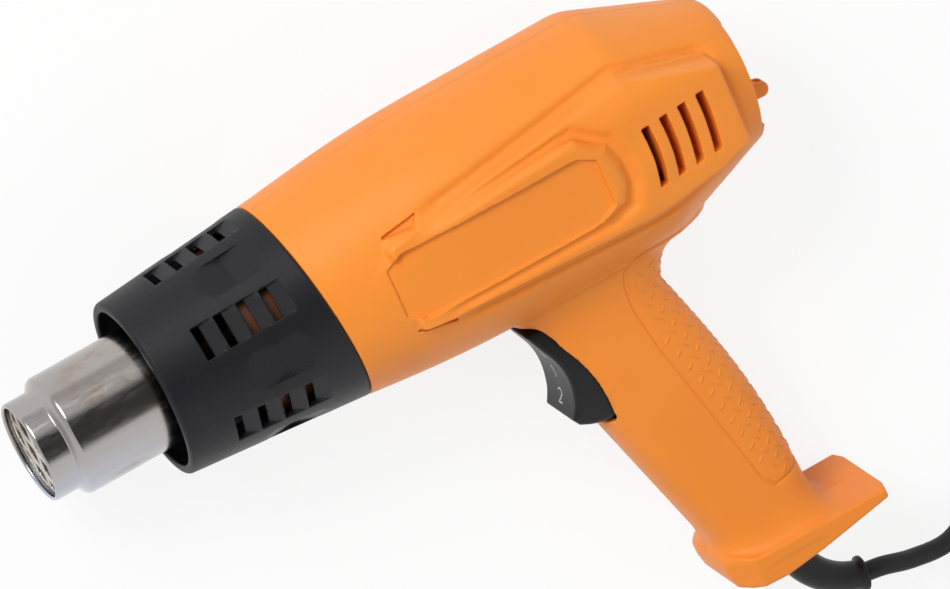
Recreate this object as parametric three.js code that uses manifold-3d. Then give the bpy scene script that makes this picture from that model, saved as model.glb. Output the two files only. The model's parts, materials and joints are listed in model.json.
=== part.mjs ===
// A hand-held hot air tool: moulded two-part body with a pistol grip, slotted heat guard, steel outlet,
// heater, motor with fan, rocker switch and mains lead. It lies on its right side, as laid on a bench.
// Sizes are in millimetres. In the tool's own frame X runs back along the barrel from the outlet's tip,
// Y is up from the barrel's axis and Z points to the tool's left side.
import * as THREE from "three";
import { mergeVertices } from "three/addons/utils/BufferGeometryUtils.js";
import Module from "manifold-3d";

const wasm = await Module();
wasm.setup();

// Clearances
const FIT = 0.3;
const ROCKER_CLEARANCE = 0.5;
const RUNNING_GAP = 4;

// Outlet tube
const TIP_RADIUS = 17.5;
const TIP_LENGTH = 9;
const STEP_LENGTH = 3;
const NOZZLE_RADIUS = 20.8;
const NOZZLE_WALL = 0.8;
const FLANGE_RIM = 4;
const FLANGE_THICKNESS = 1.2;
const GRILLE_SETBACK = 2.2;
const GRILLE_THICKNESS = 1.8;
const GRILLE_PITCH = 8.6;
const GRILLE_BAR = 1.4;
const GRILLE_ANGLE = THREE.MathUtils.degToRad(28);

// Heat guard
const GUARD_START = 42.3;
const GUARD_LENGTH = 59.7;
const GUARD_FRONT_RADIUS = 31;
const GUARD_REAR_RADIUS = 36.4;
const GUARD_WALL = 2.2;
const GUARD_LIP = 1.2;
const JOINT_LEAN = THREE.MathUtils.degToRad(7);
const SLOT_ROWS = 6;
const SLOTS_PER_ROW = 4;
const SLOT_LENGTH = 3.7;
const SLOT_WIDTH = 11.5;
const SLOT_PITCH = 8.3;
const SLOT_START = 16.6;
const SLOT_RAMP = 3;
const THUMB_FACET_SIZE = 12;
const THUMB_FACET_DEPTH = 1.3;
const THUMB_FACET_PLACE = 43.5;

// Body shells
const WALL = 2.6;
const BARREL_RADIUS = 40.9;
const BARREL_LENGTH = 118.2;
const BARREL_SWELL_LENGTH = 60;
const TAPER_LENGTH = 41;
const TAPER_END_RADIUS = 24;
const SPIGOT_LENGTH = 27;
const SPIGOT_AIR_GAP = 7;
const SPIGOT_WALL = 2;
const SPIGOT_SEAT_LENGTH = 11;
const RIB_THICKNESS = 2.5;
const RIB_DEPTH = 3;
const STAND_ANGLE = THREE.MathUtils.degToRad(4);
const STAND_SETBACK = 0.5;
const STAND_FOOT_HEIGHT = 1.4;
const STAND_FOOT_GAP = 35;
const REAR_OVERRUN = 12;
const KEEL_DROP = 2.4;

// Side panel with vents, and the bare badge field in its raised frame
const PANEL_START = 124;
const PANEL_TOP_CORNER = [218, 28.5];
const PANEL_REAR = 252;
const PANEL_REAR_TOP = 16.5;
const PANEL_REAR_BOTTOM = -13;
const PANEL_FRONT_TOP = 18.5;
const PANEL_FRONT_BOTTOM = -15.5;
const PANEL_LOW_CORNER = [205, -21.5];
const PANEL_FRONT_REACH = 39.6;
const PANEL_REACH = 41.2;
const PANEL_REAR_REACH = 34.5;
const PANEL_FLAT_START = 157;
const PANEL_FLAT_END = 206;
const PANEL_BEVEL = 2.6;
const PANEL_PROUD = 2.3;
const PANEL_REAR_PROUD = 11;
const FRAME_START = 114.5;
const FRAME_END = 206.5;
const FRAME_HALF_HEIGHT = 19.5;
const FRAME_MIDDLE = 2;
const FRAME_CORNER = [12, 6.5];
const FRAME_WIDTH = 8;
const FRAME_FRONT_REACH = 40.8;
const FRAME_REACH = 42.6;
const FRAME_SLOPE = [3.5, 1.6];
const FRAME_BLEND_END = 170;
const FRAME_FRONT_PROUD = 0.3;
const FRAME_BLEND_PROUD = 6.5;
const FIELD_DEPTH = 1.5;
const VENT_COUNT = 4;
const VENT_FIRST = 217.6;
const VENT_PITCH = 7.27;
const VENT_WIDTH = 3;
const VENT_HEIGHT = 21;
const VENT_MIDDLE = 0.6;
const VENT_SLANT = 1.4;
const NOTCH_LENGTH = 10;
const NOTCH_HEIGHT = 3;

// Grip and foot
const ROOT_Y = -36;
const GRIP_TOP = -53;
const NECK_Y = -150;
const ROOT_FRONT = 142;
const ROOT_BACK = 239;
const ROOT_HALF_WIDTH = 21;
const GRIP_FRONT_TOP = 164;
const GRIP_FRONT_NECK = 193;
const GRIP_BACK_TOP = 213.5;
const GRIP_BACK_NECK = 236.5;
const GRIP_HALF_WIDTH = 16.8;
const GRIP_ROUNDNESS = 2.8;
const FOOT_FRONT = 191.5;
const FOOT_FRONT_ROUND = [
  [0, 0],
  [0.6, -3],
  [3, -8.3],
];
const FOOT_TOP = -150;
const FOOT_REAR_BOTTOM = -153.4;
const FOOT_CROWN = -160.3;
const FOOT_CROWN_PLACE = 208;
const FOOT_CROWN_RISE = [15, 1.9];
const FOOT_HALF_WIDTH = 21.5;
const FOOT_BEVEL = 1.6;
const FOOT_NOSE = 8;
const FOOT_TAIL = [2.5, 13];
const SKIRT_HEIGHT = 12;
const SKIRT_FLARE = 4;
const FOOT_FLOOR = 6;

// Rocker switch
const ROCKER_PIVOT = [180, -64];
const ROCKER_FACE = [
  [-18.2, 18.4],
  [-15.4, 12.4],
  [-12.1, 5],
  [-11.1, -2],
  [-12.4, -10],
  [-14.8, -15],
];
const ROCKER_REAR = [
  [-13.2, -17.6],
  [-9, -19.6],
  [-4.6, -19.8],
  [1, -17.6],
  [4.6, -11],
  [6, 0],
  [4, 12],
  [-2, 17.6],
  [-10, 19.2],
];
const ROCKER_HALF_WIDTH = 11;
const ROCKER_BOW = 2.4;
const ROCKER_PIN_RADIUS = 2;
const ROCKER_PIN_LENGTH = 1.4;
const ROCKER_BEVEL = 0.9;
const OPENING_TOP = -43.6;
const OPENING_BOTTOM = -86.4;
const OPENING_DEPTH = 188.5;
const SWITCH_START = 190;
const SWITCH_LENGTH = 17.5;
const SWITCH_TOP = -51;
const SWITCH_HEIGHT = 33;
const SWITCH_HALF_WIDTH = 8;

// Heater
const SLEEVE_WALL = 0.7;
const SLEEVE_LENGTH = 86;
const FORMER_RADIUS = 13.6;
const FORMER_FIN = 1.8;
const FORMER_END = 3;
const FORMER_SETBACK = 9;
const HEATER_WIRE = 1.5;
const HEATER_TURNS = 9;
const HEATER_STEPS = 8;
const BASE_THICKNESS = 5;
const BASE_RIM = 3;
const BASE_HUB = 4;
const CUTOUT_RADIUS = 3;
const CUTOUT_LENGTH = 10;

// Motor and fan
const MOTOR_START = 138;
const MOTOR_RADIUS = 13.8;
const MOTOR_LENGTH = 46;
const MOTOR_BORE_DEPTH = 6;
const ENDCAP_LENGTH = 6;
const TERMINAL_LENGTH = 2;
const BOARD_THICKNESS = 1.6;
const BOARD_RADIUS = 11.5;
const BRACKET_WALL = 2.2;
const BRACKET_RING_WIDTH = 8;
const BRACKET_RING_WALL = 2;
const BRACKET_RING_START = 166;
const VANE_COUNT = 5;
const VANE_THICKNESS = 2;
const SHAFT_RADIUS = 1.6;
const FAN_START = 205;
const FAN_LENGTH = 14;
const FAN_HUB_RADIUS = 9;
const FAN_BLADES = 7;
const FAN_BLADE_THICKNESS = 1.6;
const FAN_ROOT_PITCH = THREE.MathUtils.degToRad(50);
const FAN_TIP_PITCH = THREE.MathUtils.degToRad(28);

// Rear cap
const INTAKE_RADIUS = 18.6;
const CAP_FLANGE_RIM = 1.6;
const CAP_FLANGE_THICKNESS = 1.6;
const CAP_PROUD = 2.4;
const CAP_SLOT_COUNT = 5;
const CAP_SLOT_HEIGHT = 3;
const CAP_SLOT_PITCH = 6.2;
const CAP_RIM = 3;
const LUG_HEIGHT = 5.4;
const LUG_FLARE = 3;
const LUG_REACH = 9;
const LUG_WIDTH = 6;
const LUG_HOLE = 1.5;
const LUG_Y = -13;

// Fasteners
const SCREW_RADIUS = 1.5;
const SCREW_HEAD_RADIUS = 3;
const SCREW_HEAD_THICKNESS = 2.2;
const SCREW_REACH = 10;
const BOSS_RADIUS = 3.8;
const BOSS_SEAT = 8;
const SCREW_PLACES = [
  [121, 30.5],
  [121, -30.5],
  [195, 33],
  [234, -27],
  [203, -98],
  [202, -146],
];

// Lead, its clamp and its strain relief
const CORD_RADIUS = 3.25;
const BOOT_PLACE = 217;
const BOOT_BEND = 24.5;
const BOOT_TURN = THREE.MathUtils.degToRad(80);
const BOOT_RADIUS = 6;
const BOOT_END_RADIUS = 4.9;
const BOOT_RIM_RADIUS = 5.7;
const BOOT_RIM_LENGTH = 2.4;
const BOOT_COLLAR_RADIUS = 8;
const BOOT_COLLAR_THICKNESS = 2;
const BOOT_HOLE_OVERRUN = 20;
const CLAMP_Y = -128;
const CLAMP_HEIGHT = 8;
const CLAMP_LENGTH = 17;
const CLAMP_THICKNESS = 3;
const CLAMP_SCREW_SPACING = 11.6;
const CLAMP_SCREW_HEAD = 2.6;
const TAIL_TOP = -115;
const WIRE_RADIUS = 1.1;
const WIRE_STEPS = 9;
const WIRE_SIDES = 5;
const WIRE_STEM = 6;
const SUPPLY_WIRE_SWAY = 1;
const SUPPLY_WIRE_SWEEP = 12;
const SUPPLY_WIRE_INSET = 4;
const SUPPLY_WIRE_SPREAD = [1.6, 2.2, 3, 4];
const HEATER_WIRE_PLACE = 8;
const HEATER_WIRE_STEPS = [4, 8, 5, 4];
const HEATER_WIRE_DEPTHS = [28, 24, 14];
const HEATER_WIRE_DROP = 4;
const HEATER_WIRE_SPREAD = [4, 5, 3.2, 1.6];
const MOTOR_WIRE_PLACE = 15;
const MOTOR_WIRE_STEM = [2, 8];
const MOTOR_WIRE_STEPS = [4, 6, 5, 3];
const MOTOR_WIRE_DEPTHS = [25, 21, 12, 5];
const MOTOR_WIRE_SPREAD = [5, 6, 9, 11, 9, 7];
const CAPACITOR_SIZE = [11, 18, 9];
const LEAD_ROUTE = [
  [119, -113.6, 13],
  [134, -116, 9],
  [148, -110.6, 5.6],
];
const COIL_CENTRE = [191, -144];
const COIL_INNER = 25.5;
const COIL_PITCH = 7;
const COIL_LAYER_RISE = 7;
const COIL_WHOLE_TURNS = 7;
const COIL_TAIL = 26;
const COIL_STEPS = 24;
const COIL_SIDES = 6;
const COIL_START_ANGLE = THREE.MathUtils.degToRad(118);
const COIL_END_ANGLE = THREE.MathUtils.degToRad(-90);
const TIE_THICKNESS = 0.8;
const TIE_WIDTH = 8;
const TIE_SLACK = 0.6;
const TIE_ANGLE = THREE.MathUtils.degToRad(20);
const PLUG_LENGTH = 34;
const PLUG_HALF_WIDTH = 17.5;
const PLUG_NECK_LENGTH = 16;
const PLUG_NECK_RADIUS = 5.4;
const PIN_RADIUS = 2.4;
const PIN_LENGTH = 19;
const PIN_SPACING = 19;

const BARREL_SEGMENTS = 36;
const NOZZLE_SEGMENTS = 26;
const ROUND_SEGMENTS = 18;
const GRIP_SEGMENTS = 18;
const HOLLOW_SEGMENTS = 12;
const SMALL_SEGMENTS = 10;
const BOW_STEPS = 8;

// Closed geometry as a solid with its faces pointing out
function solid(geometry) {
  const bare = geometry.clone();
  bare.deleteAttribute("normal");
  bare.deleteAttribute("uv");
  const merged = mergeVertices(bare, 1e-4);
  const corners = merged.index.array;
  const triangles = [];
  for (let i = 0; i < corners.length; i += 3) {
    const [a, b, c] = [corners[i], corners[i + 1], corners[i + 2]];
    if (a !== b && b !== c && c !== a) triangles.push(a, b, c);
  }
  const build = (triVerts) =>
    new wasm.Manifold(
      new wasm.Mesh({
        numProp: 3,
        vertProperties: merged.attributes.position.array,
        triVerts: new Uint32Array(triVerts),
      }),
    );
  const made = build(triangles);
  return made.volume() < 0 ? build(triangles.reverse()) : made;
}

function geometryOf(body) {
  const mesh = body.getMesh();
  const geometry = new THREE.BufferGeometry();
  geometry.setAttribute("position", new THREE.BufferAttribute(mesh.vertProperties, 3));
  geometry.setIndex(new THREE.BufferAttribute(mesh.triVerts, 1));
  geometry.computeVertexNormals();
  return geometry;
}

const joined = (bodies) => bodies.reduce((sum, body) => sum.add(body));

// Turned form about the barrel's axis from [x, radius] points
function revolve(points, segments = ROUND_SEGMENTS) {
  const profile = points.map(([x, radius]) => new THREE.Vector2(radius, x));
  return solid(new THREE.LatheGeometry(profile, segments).rotateZ(-Math.PI / 2));
}

// Straight tube about the barrel's axis
function pipe(start, end, outer, inner, segments = ROUND_SEGMENTS) {
  const section = [
    [start, inner],
    [start, outer],
    [end, outer],
    [end, inner],
    [start, inner],
  ];
  return revolve(section, segments);
}

function disc(start, end, radius, segments = ROUND_SEGMENTS) {
  const section = [
    [start, 0],
    [start, radius],
    [end, radius],
    [end, 0],
  ];
  return revolve(section, segments);
}

// Side outline of [x, y] points, carried across from z0 to z1 and turned about the barrel's axis
function prism(outline, z0, z1, turn = 0) {
  const shape = new THREE.Shape(outline.map(([x, y]) => new THREE.Vector2(x, y)));
  const geometry = new THREE.ExtrudeGeometry(shape, { depth: z1 - z0, bevelEnabled: false });
  return solid(geometry.translate(0, 0, z0).rotateX(turn));
}

// The same with rounded edges inside the outline
function roundedPrism(outline, z0, z1, bevel, bevelSegments = 2) {
  const shape = new THREE.Shape(outline.map(([x, y]) => new THREE.Vector2(x, y)));
  const geometry = new THREE.ExtrudeGeometry(shape, {
    depth: z1 - z0 - 2 * bevel,
    bevelThickness: bevel,
    bevelSize: bevel,
    bevelOffset: -bevel,
    bevelSegments,
  });
  return geometry.translate(0, 0, z0 + bevel);
}

function block(x0, x1, y0, y1, z0, z1) {
  const geometry = new THREE.BoxGeometry(x1 - x0, y1 - y0, z1 - z0);
  return solid(geometry.translate((x0 + x1) / 2, (y0 + y1) / 2, (z0 + z1) / 2));
}

// Round bar across the tool, along Z
function crossBar(x, y, radius, z0, z1, segments = SMALL_SEGMENTS) {
  const geometry = new THREE.CylinderGeometry(radius, radius, z1 - z0, segments);
  return solid(geometry.rotateX(Math.PI / 2).translate(x, y, (z0 + z1) / 2));
}

// Skin over rings of equal point counts, closed by a fan at each end
function loft(rings) {
  const count = rings[0].length;
  const points = rings.flat();
  const index = [];
  for (let r = 0; r + 1 < rings.length; r += 1) {
    for (let i = 0; i < count; i += 1) {
      const a = r * count + i;
      const b = r * count + ((i + 1) % count);
      index.push(a, b, b + count, a, b + count, a + count);
    }
  }
  const middle = (ring) =>
    ring.reduce((sum, p) => sum.add(p), new THREE.Vector3()).divideScalar(count);
  const last = (rings.length - 1) * count;
  points.push(middle(rings[0]), middle(rings.at(-1)));
  for (let i = 0; i < count; i += 1) {
    const next = (i + 1) % count;
    index.push(points.length - 2, next, i);
    index.push(points.length - 1, last + i, last + next);
  }
  const geometry = new THREE.BufferGeometry().setFromPoints(points);
  return solid(geometry.setIndex(index));
}

// Tube along a smooth curve
function tube(curve, radius, steps, sides) {
  const circle = new THREE.Shape();
  const corner = (i) => [
    radius * Math.cos((2 * Math.PI * i) / sides),
    radius * Math.sin((2 * Math.PI * i) / sides),
  ];
  circle.moveTo(...corner(0));
  for (let i = 1; i < sides; i += 1) circle.lineTo(...corner(i));
  const options = { steps, extrudePath: curve, bevelEnabled: false };
  return solid(new THREE.ExtrudeGeometry(circle, options));
}

const curveThrough = (points) =>
  new THREE.CatmullRomCurve3(points.map((p) => new THREE.Vector3(...p)), false, "centripetal");

// Places along the barrel
const guardEnd = GUARD_START + GUARD_LENGTH;
const shoulder = guardEnd + FIT;
const spigotStart = shoulder - SPIGOT_LENGTH;
const taperStart = shoulder + BARREL_LENGTH;
const taperEnd = taperStart + TAPER_LENGTH;
const standPlane = taperEnd - STAND_SETBACK;
const spigotBore = NOZZLE_RADIUS + SPIGOT_AIR_GAP;
const flangeRadius = spigotBore + FLANGE_RIM;
const flangeStart = shoulder + RIB_THICKNESS;
const flangeEnd = flangeStart + FLANGE_THICKNESS;

const guardRadius = (x) =>
  GUARD_FRONT_RADIUS +
  ((GUARD_REAR_RADIUS - GUARD_FRONT_RADIUS) * (x - GUARD_START)) / GUARD_LENGTH;

function barrelRadius(x) {
  if (x > taperStart) {
    return BARREL_RADIUS - ((BARREL_RADIUS - TAPER_END_RADIUS) * (x - taperStart)) / TAPER_LENGTH;
  }
  const along = Math.min(1, (x - shoulder) / BARREL_SWELL_LENGTH);
  const swell = Math.sin((along * Math.PI) / 2);
  return GUARD_REAR_RADIUS + (BARREL_RADIUS - GUARD_REAR_RADIUS) * swell;
}

const barrelStations = (from, to) =>
  [0, 4, 14, 26, 40, BARREL_SWELL_LENGTH, BARREL_LENGTH, BARREL_LENGTH + TAPER_LENGTH]
    .map((offset) => shoulder + offset)
    .filter((x) => x > from && x < to);

// Everything in front of the leaning plane that the tool can stand on, moved along X by an offset
function inFrontOfStandPlane(offset) {
  const size = 600;
  const geometry = new THREE.BoxGeometry(size, size, size).translate(-size / 2, 0, 0);
  geometry.rotateZ(-STAND_ANGLE);
  return solid(geometry.translate(standPlane + offset, 0, 0));
}

const standPlaneX = (y) => standPlane + y * Math.tan(STAND_ANGLE);

// Grip outline at a height, drawn in by an inset
function gripAt(y, inset) {
  const along = THREE.MathUtils.clamp((GRIP_TOP - y) / (GRIP_TOP - NECK_Y), 0, 1);
  const rise = THREE.MathUtils.clamp((y - GRIP_TOP) / (ROOT_Y - GRIP_TOP), 0, 1);
  const flare = 1 - Math.sqrt(1 - rise * rise);
  const front = THREE.MathUtils.lerp(GRIP_FRONT_TOP, GRIP_FRONT_NECK, along);
  const back = THREE.MathUtils.lerp(GRIP_BACK_TOP, GRIP_BACK_NECK, along);
  return {
    front: THREE.MathUtils.lerp(front, ROOT_FRONT, flare) + inset,
    back: THREE.MathUtils.lerp(back, ROOT_BACK, flare) - inset,
    halfWidth: THREE.MathUtils.lerp(GRIP_HALF_WIDTH, ROOT_HALF_WIDTH, flare) - inset,
  };
}

function gripRing(y, inset, count) {
  const { front, back, halfWidth } = gripAt(y, inset);
  const rounded = (v) => Math.sign(v) * Math.abs(v) ** (2 / GRIP_ROUNDNESS);
  return Array.from({ length: count }, (_, i) => {
    const turn = (2 * Math.PI * i) / count;
    const x = (front + back) / 2 + ((back - front) / 2) * rounded(Math.cos(turn));
    return new THREE.Vector3(x, y, halfWidth * rounded(Math.sin(turn)));
  });
}

function gripForm(bottom, inset, count) {
  const fillet = [0.97, 0.85, 0.65, 0.35].map((f) => GRIP_TOP + f * (ROOT_Y - GRIP_TOP));
  const grip = [0, 0.2, 0.4, 0.6, 0.8, 1].map((f) => GRIP_TOP + f * (NECK_Y - GRIP_TOP));
  const heights = [ROOT_Y + BARREL_RADIUS / 2, ROOT_Y, ...fillet, ...grip, bottom];
  return loft(heights.map((y) => gripRing(y, inset, count)));
}

// Everything behind the leaning joint between guard and body, moved along X by an offset
function behindJoint(offset) {
  const size = 600;
  const geometry = new THREE.BoxGeometry(size, size, size).translate(size / 2, 0, 0);
  geometry.rotateZ(JOINT_LEAN);
  return solid(geometry.translate(guardEnd + offset, 0, 0));
}

const jointReach = GUARD_REAR_RADIUS * Math.tan(JOINT_LEAN) + 1;

function barrelForm() {
  const spigotRadius = (x) => guardRadius(x) - GUARD_WALL - FIT;
  const seatStart = shoulder - SPIGOT_SEAT_LENGTH;
  const spigotEnd = shoulder + jointReach;
  const spigot = revolve(
    [
      [spigotStart, 0],
      [spigotStart, spigotBore + SPIGOT_WALL],
      [seatStart, spigotBore + SPIGOT_WALL],
      [seatStart, spigotRadius(seatStart)],
      [spigotEnd, spigotRadius(spigotEnd)],
      [spigotEnd, 0],
    ],
    BARREL_SEGMENTS,
  );
  const front = shoulder - jointReach;
  const stations = barrelStations(shoulder, taperEnd + 1).map((x) => [x, barrelRadius(x)]);
  const rear = taperEnd + REAR_OVERRUN;
  const barrel = revolve(
    [
      [front, 0],
      [front, guardRadius(front)],
      [shoulder, guardRadius(shoulder)],
      ...stations,
      [rear, barrelRadius(rear)],
      [rear, 0],
    ],
    BARREL_SEGMENTS,
  );
  const keel = revolve(
    [
      [taperStart, 0],
      [taperStart, BARREL_RADIUS - KEEL_DROP],
      [taperEnd, TAPER_END_RADIUS],
      [taperEnd, 0],
    ],
    BARREL_SEGMENTS,
  );
  return barrel.add(keel.translate([0, -KEEL_DROP, 0])).intersect(behindJoint(FIT)).add(spigot);
}

// Foot plate with a rounded nose and cut rear corners, and the skirt that leads the grip into it
function footForm() {
  const rear = standPlaneX(FOOT_TOP);
  const half = FOOT_HALF_WIDTH;
  const outline = [
    ...FOOT_FRONT_ROUND.map(([x, y]) => [FOOT_FRONT + x, FOOT_TOP + y]),
    [FOOT_CROWN_PLACE, FOOT_CROWN],
    [FOOT_CROWN_PLACE + FOOT_CROWN_RISE[0], FOOT_CROWN + FOOT_CROWN_RISE[1]],
    [standPlaneX(FOOT_REAR_BOTTOM), FOOT_REAR_BOTTOM],
    [rear, FOOT_TOP],
  ];
  const side = [
    [FOOT_FRONT, half - FOOT_NOSE],
    [FOOT_FRONT + FOOT_NOSE, half],
    [rear - FOOT_TAIL[0], half],
    [rear + FIT, FOOT_TAIL[1]],
  ];
  const plan = [...side, ...side.map(([x, z]) => [x, -z]).reverse()];
  const within = prism(plan, -NECK_Y - 2 * SKIRT_HEIGHT, 1 - FOOT_CROWN, Math.PI / 2);
  const flares = [0, 0.1, 0.35, 1];
  const rings = flares.map((f, i) => {
    const y = NECK_Y + SKIRT_HEIGHT * (1 - i / (flares.length - 1));
    return gripRing(y, -SKIRT_FLARE * f, GRIP_SEGMENTS);
  });
  const skirt = loft([...rings, gripRing(NECK_Y - FOOT_BEVEL, -SKIRT_FLARE, GRIP_SEGMENTS)]);
  const plate = solid(roundedPrism(outline, -half, half, FOOT_BEVEL));
  return plate.add(skirt).intersect(within);
}

// Height of the foot's underside at a place along the tool
function footUndersideAt(x) {
  const fall = (standPlaneX(FOOT_REAR_BOTTOM) - x) / (standPlaneX(FOOT_REAR_BOTTOM) - FOOT_CROWN_PLACE);
  return THREE.MathUtils.lerp(FOOT_REAR_BOTTOM, FOOT_CROWN, Math.min(1, fall));
}

// Side panel: a slab with a sloped edge, flush with the barrel in front and drawn in with the taper
function panelForm(side) {
  const reach = (x) => {
    if (x > PANEL_FLAT_END) {
      const along = (x - PANEL_FLAT_END) / (PANEL_REAR - PANEL_FLAT_END);
      return THREE.MathUtils.lerp(PANEL_REACH, PANEL_REAR_REACH, along);
    }
    const along = Math.min(1, (x - PANEL_START) / (PANEL_FLAT_START - PANEL_START));
    return THREE.MathUtils.lerp(PANEL_FRONT_REACH, PANEL_REACH, along);
  };
  const between = (x, x0, y0, x1, y1) => y0 + ((y1 - y0) * (x - x0)) / (x1 - x0);
  const upper = (x) =>
    x < PANEL_TOP_CORNER[0]
      ? between(x, PANEL_START, PANEL_FRONT_TOP, ...PANEL_TOP_CORNER)
      : between(x, ...PANEL_TOP_CORNER, PANEL_REAR, PANEL_REAR_TOP);
  const lower = (x) =>
    x < PANEL_LOW_CORNER[0]
      ? between(x, PANEL_START, PANEL_FRONT_BOTTOM, ...PANEL_LOW_CORNER)
      : between(x, ...PANEL_LOW_CORNER, PANEL_REAR, PANEL_REAR_BOTTOM);
  const root = PANEL_REAR_REACH / 2;
  const ring = (x, sink) => {
    const [low, high, out] = [lower(x), upper(x), reach(x) - sink];
    const section = [
      [low, root],
      [low, out - PANEL_BEVEL],
      [low + PANEL_BEVEL, out],
      [high - PANEL_BEVEL, out],
      [high, out - PANEL_BEVEL],
      [high, root],
    ];
    return section.map(([y, z]) => new THREE.Vector3(x, y, side * z));
  };
  const flats = [PANEL_FLAT_START, PANEL_LOW_CORNER[0], PANEL_FLAT_END];
  const stations = [PANEL_START + PANEL_BEVEL, ...flats, PANEL_TOP_CORNER[0], PANEL_REAR - PANEL_BEVEL];
  const rings = stations.map((x) => ring(x, 0));
  const slab = loft([ring(PANEL_START, PANEL_BEVEL), ...rings, ring(PANEL_REAR, PANEL_BEVEL)]);
  const rear = PANEL_REAR + 1;
  const reachOfRound = revolve(
    [
      [PANEL_START - 1, 0],
      [PANEL_START - 1, BARREL_RADIUS + PANEL_PROUD],
      [PANEL_TOP_CORNER[0], BARREL_RADIUS + PANEL_PROUD],
      [rear, barrelRadius(rear) + PANEL_REAR_PROUD],
      [rear, 0],
    ],
    BARREL_SEGMENTS,
  );
  return slab.intersect(reachOfRound);
}

// Eight-sided outline of the badge frame, drawn in by an inset
function frameOutline(inset) {
  const [x0, x1] = [FRAME_START + inset, FRAME_END - inset];
  const half = FRAME_HALF_HEIGHT - inset;
  const [cutX, cutY] = FRAME_CORNER;
  return [
    [x0, half - cutY],
    [x0, cutY - half],
    [x0 + cutX, -half],
    [x1 - cutX, -half],
    [x1, cutY - half],
    [x1, half - cutY],
    [x1 - cutX, half],
    [x0 + cutX, half],
  ].map(([x, y]) => [x, FRAME_MIDDLE + y]);
}

// The frame's face leans: it stands further out at its rear end
const frameLean = (FRAME_REACH - FRAME_FRONT_REACH) / (FRAME_END - FRAME_START);

function leanOut(geometry, side) {
  const place = geometry.getAttribute("position");
  for (let i = 0; i < place.count; i += 1) {
    const shift = frameLean * (place.getX(i) - FRAME_END);
    place.setZ(i, side * (place.getZ(i) + shift));
  }
  return solid(geometry);
}

// Round form that the frame's front end sinks into, drawn in by a depth
function frameRound(depth) {
  const [ahead, behind] = [FRAME_START - 1, FRAME_END + 1];
  const proud = (x) => {
    const along = Math.min(1, (x - FRAME_START) / (FRAME_BLEND_END - FRAME_START));
    return THREE.MathUtils.lerp(FRAME_FRONT_PROUD, FRAME_BLEND_PROUD, along);
  };
  const stations = [ahead, ...barrelStations(ahead, FRAME_BLEND_END), FRAME_BLEND_END, behind];
  const profile = stations.map((x) => [x, barrelRadius(x) + proud(x) - depth]);
  return revolve([[ahead, 0], ...profile, [behind, 0]], BARREL_SEGMENTS);
}

function frameForm(side) {
  const root = FRAME_FRONT_REACH / 2;
  const [slopeWidth, slopeHeight] = FRAME_SLOPE;
  const shape = new THREE.Shape(frameOutline(slopeWidth).map(([x, y]) => new THREE.Vector2(x, y)));
  const geometry = new THREE.ExtrudeGeometry(shape, {
    depth: FRAME_REACH - root - 2 * slopeHeight,
    bevelThickness: slopeHeight,
    bevelSize: slopeWidth,
    bevelSegments: 1,
  });
  return leanOut(geometry.translate(0, 0, root + slopeHeight), side).intersect(frameRound(0));
}

// The field's floor lies below the frame's flat face and, in front, below its round end
function fieldCut(side) {
  const shape = new THREE.Shape(frameOutline(FRAME_WIDTH).map(([x, y]) => new THREE.Vector2(x, y)));
  const floor = FRAME_REACH - FIELD_DEPTH;
  const above = (start) => {
    const depth = FRAME_REACH + FIELD_DEPTH - start;
    const geometry = new THREE.ExtrudeGeometry(shape, { depth, bevelEnabled: false });
    return leanOut(geometry.translate(0, 0, start), side);
  };
  return above(floor).add(above(floor - FRAME_BLEND_PROUD).subtract(frameRound(FIELD_DEPTH)));
}

function ventCuts(side) {
  const cuts = [];
  const [near, far] = [BARREL_RADIUS / 3, BARREL_RADIUS * 1.5];
  const place = (outline) => prism(outline, side > 0 ? near : -far, side > 0 ? far : -near);
  for (let i = 0; i < VENT_COUNT; i += 1) {
    const x = VENT_FIRST + i * VENT_PITCH;
    const [lean, half] = [VENT_SLANT / 2, VENT_HEIGHT / 2];
    cuts.push(
      place([
        [x + lean - VENT_WIDTH / 2, VENT_MIDDLE + half],
        [x - lean - VENT_WIDTH / 2, VENT_MIDDLE - half],
        [x - lean + VENT_WIDTH / 2, VENT_MIDDLE - half],
        [x + lean + VENT_WIDTH / 2, VENT_MIDDLE + half],
      ]),
    );
  }
  for (const y of [PANEL_FRONT_TOP, PANEL_FRONT_BOTTOM]) {
    const up = Math.sign(y);
    cuts.push(
      place([
        [PANEL_START - NOTCH_LENGTH / 4, y - up * NOTCH_HEIGHT * 0.5],
        [PANEL_START + NOTCH_LENGTH * 0.75, y + up * NOTCH_HEIGHT * 0.5],
        [PANEL_START + NOTCH_LENGTH * 0.65, y - up * NOTCH_HEIGHT * 0.3],
      ]),
    );
  }
  return joined(cuts);
}

// Hollow of the barrel, with the ring ribs that hold the outlet's flange and the motor bracket
const bracketRing = barrelRadius(BRACKET_RING_START) - WALL - FIT;
const bracketRingEnd = BRACKET_RING_START + BRACKET_RING_WIDTH;

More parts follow.
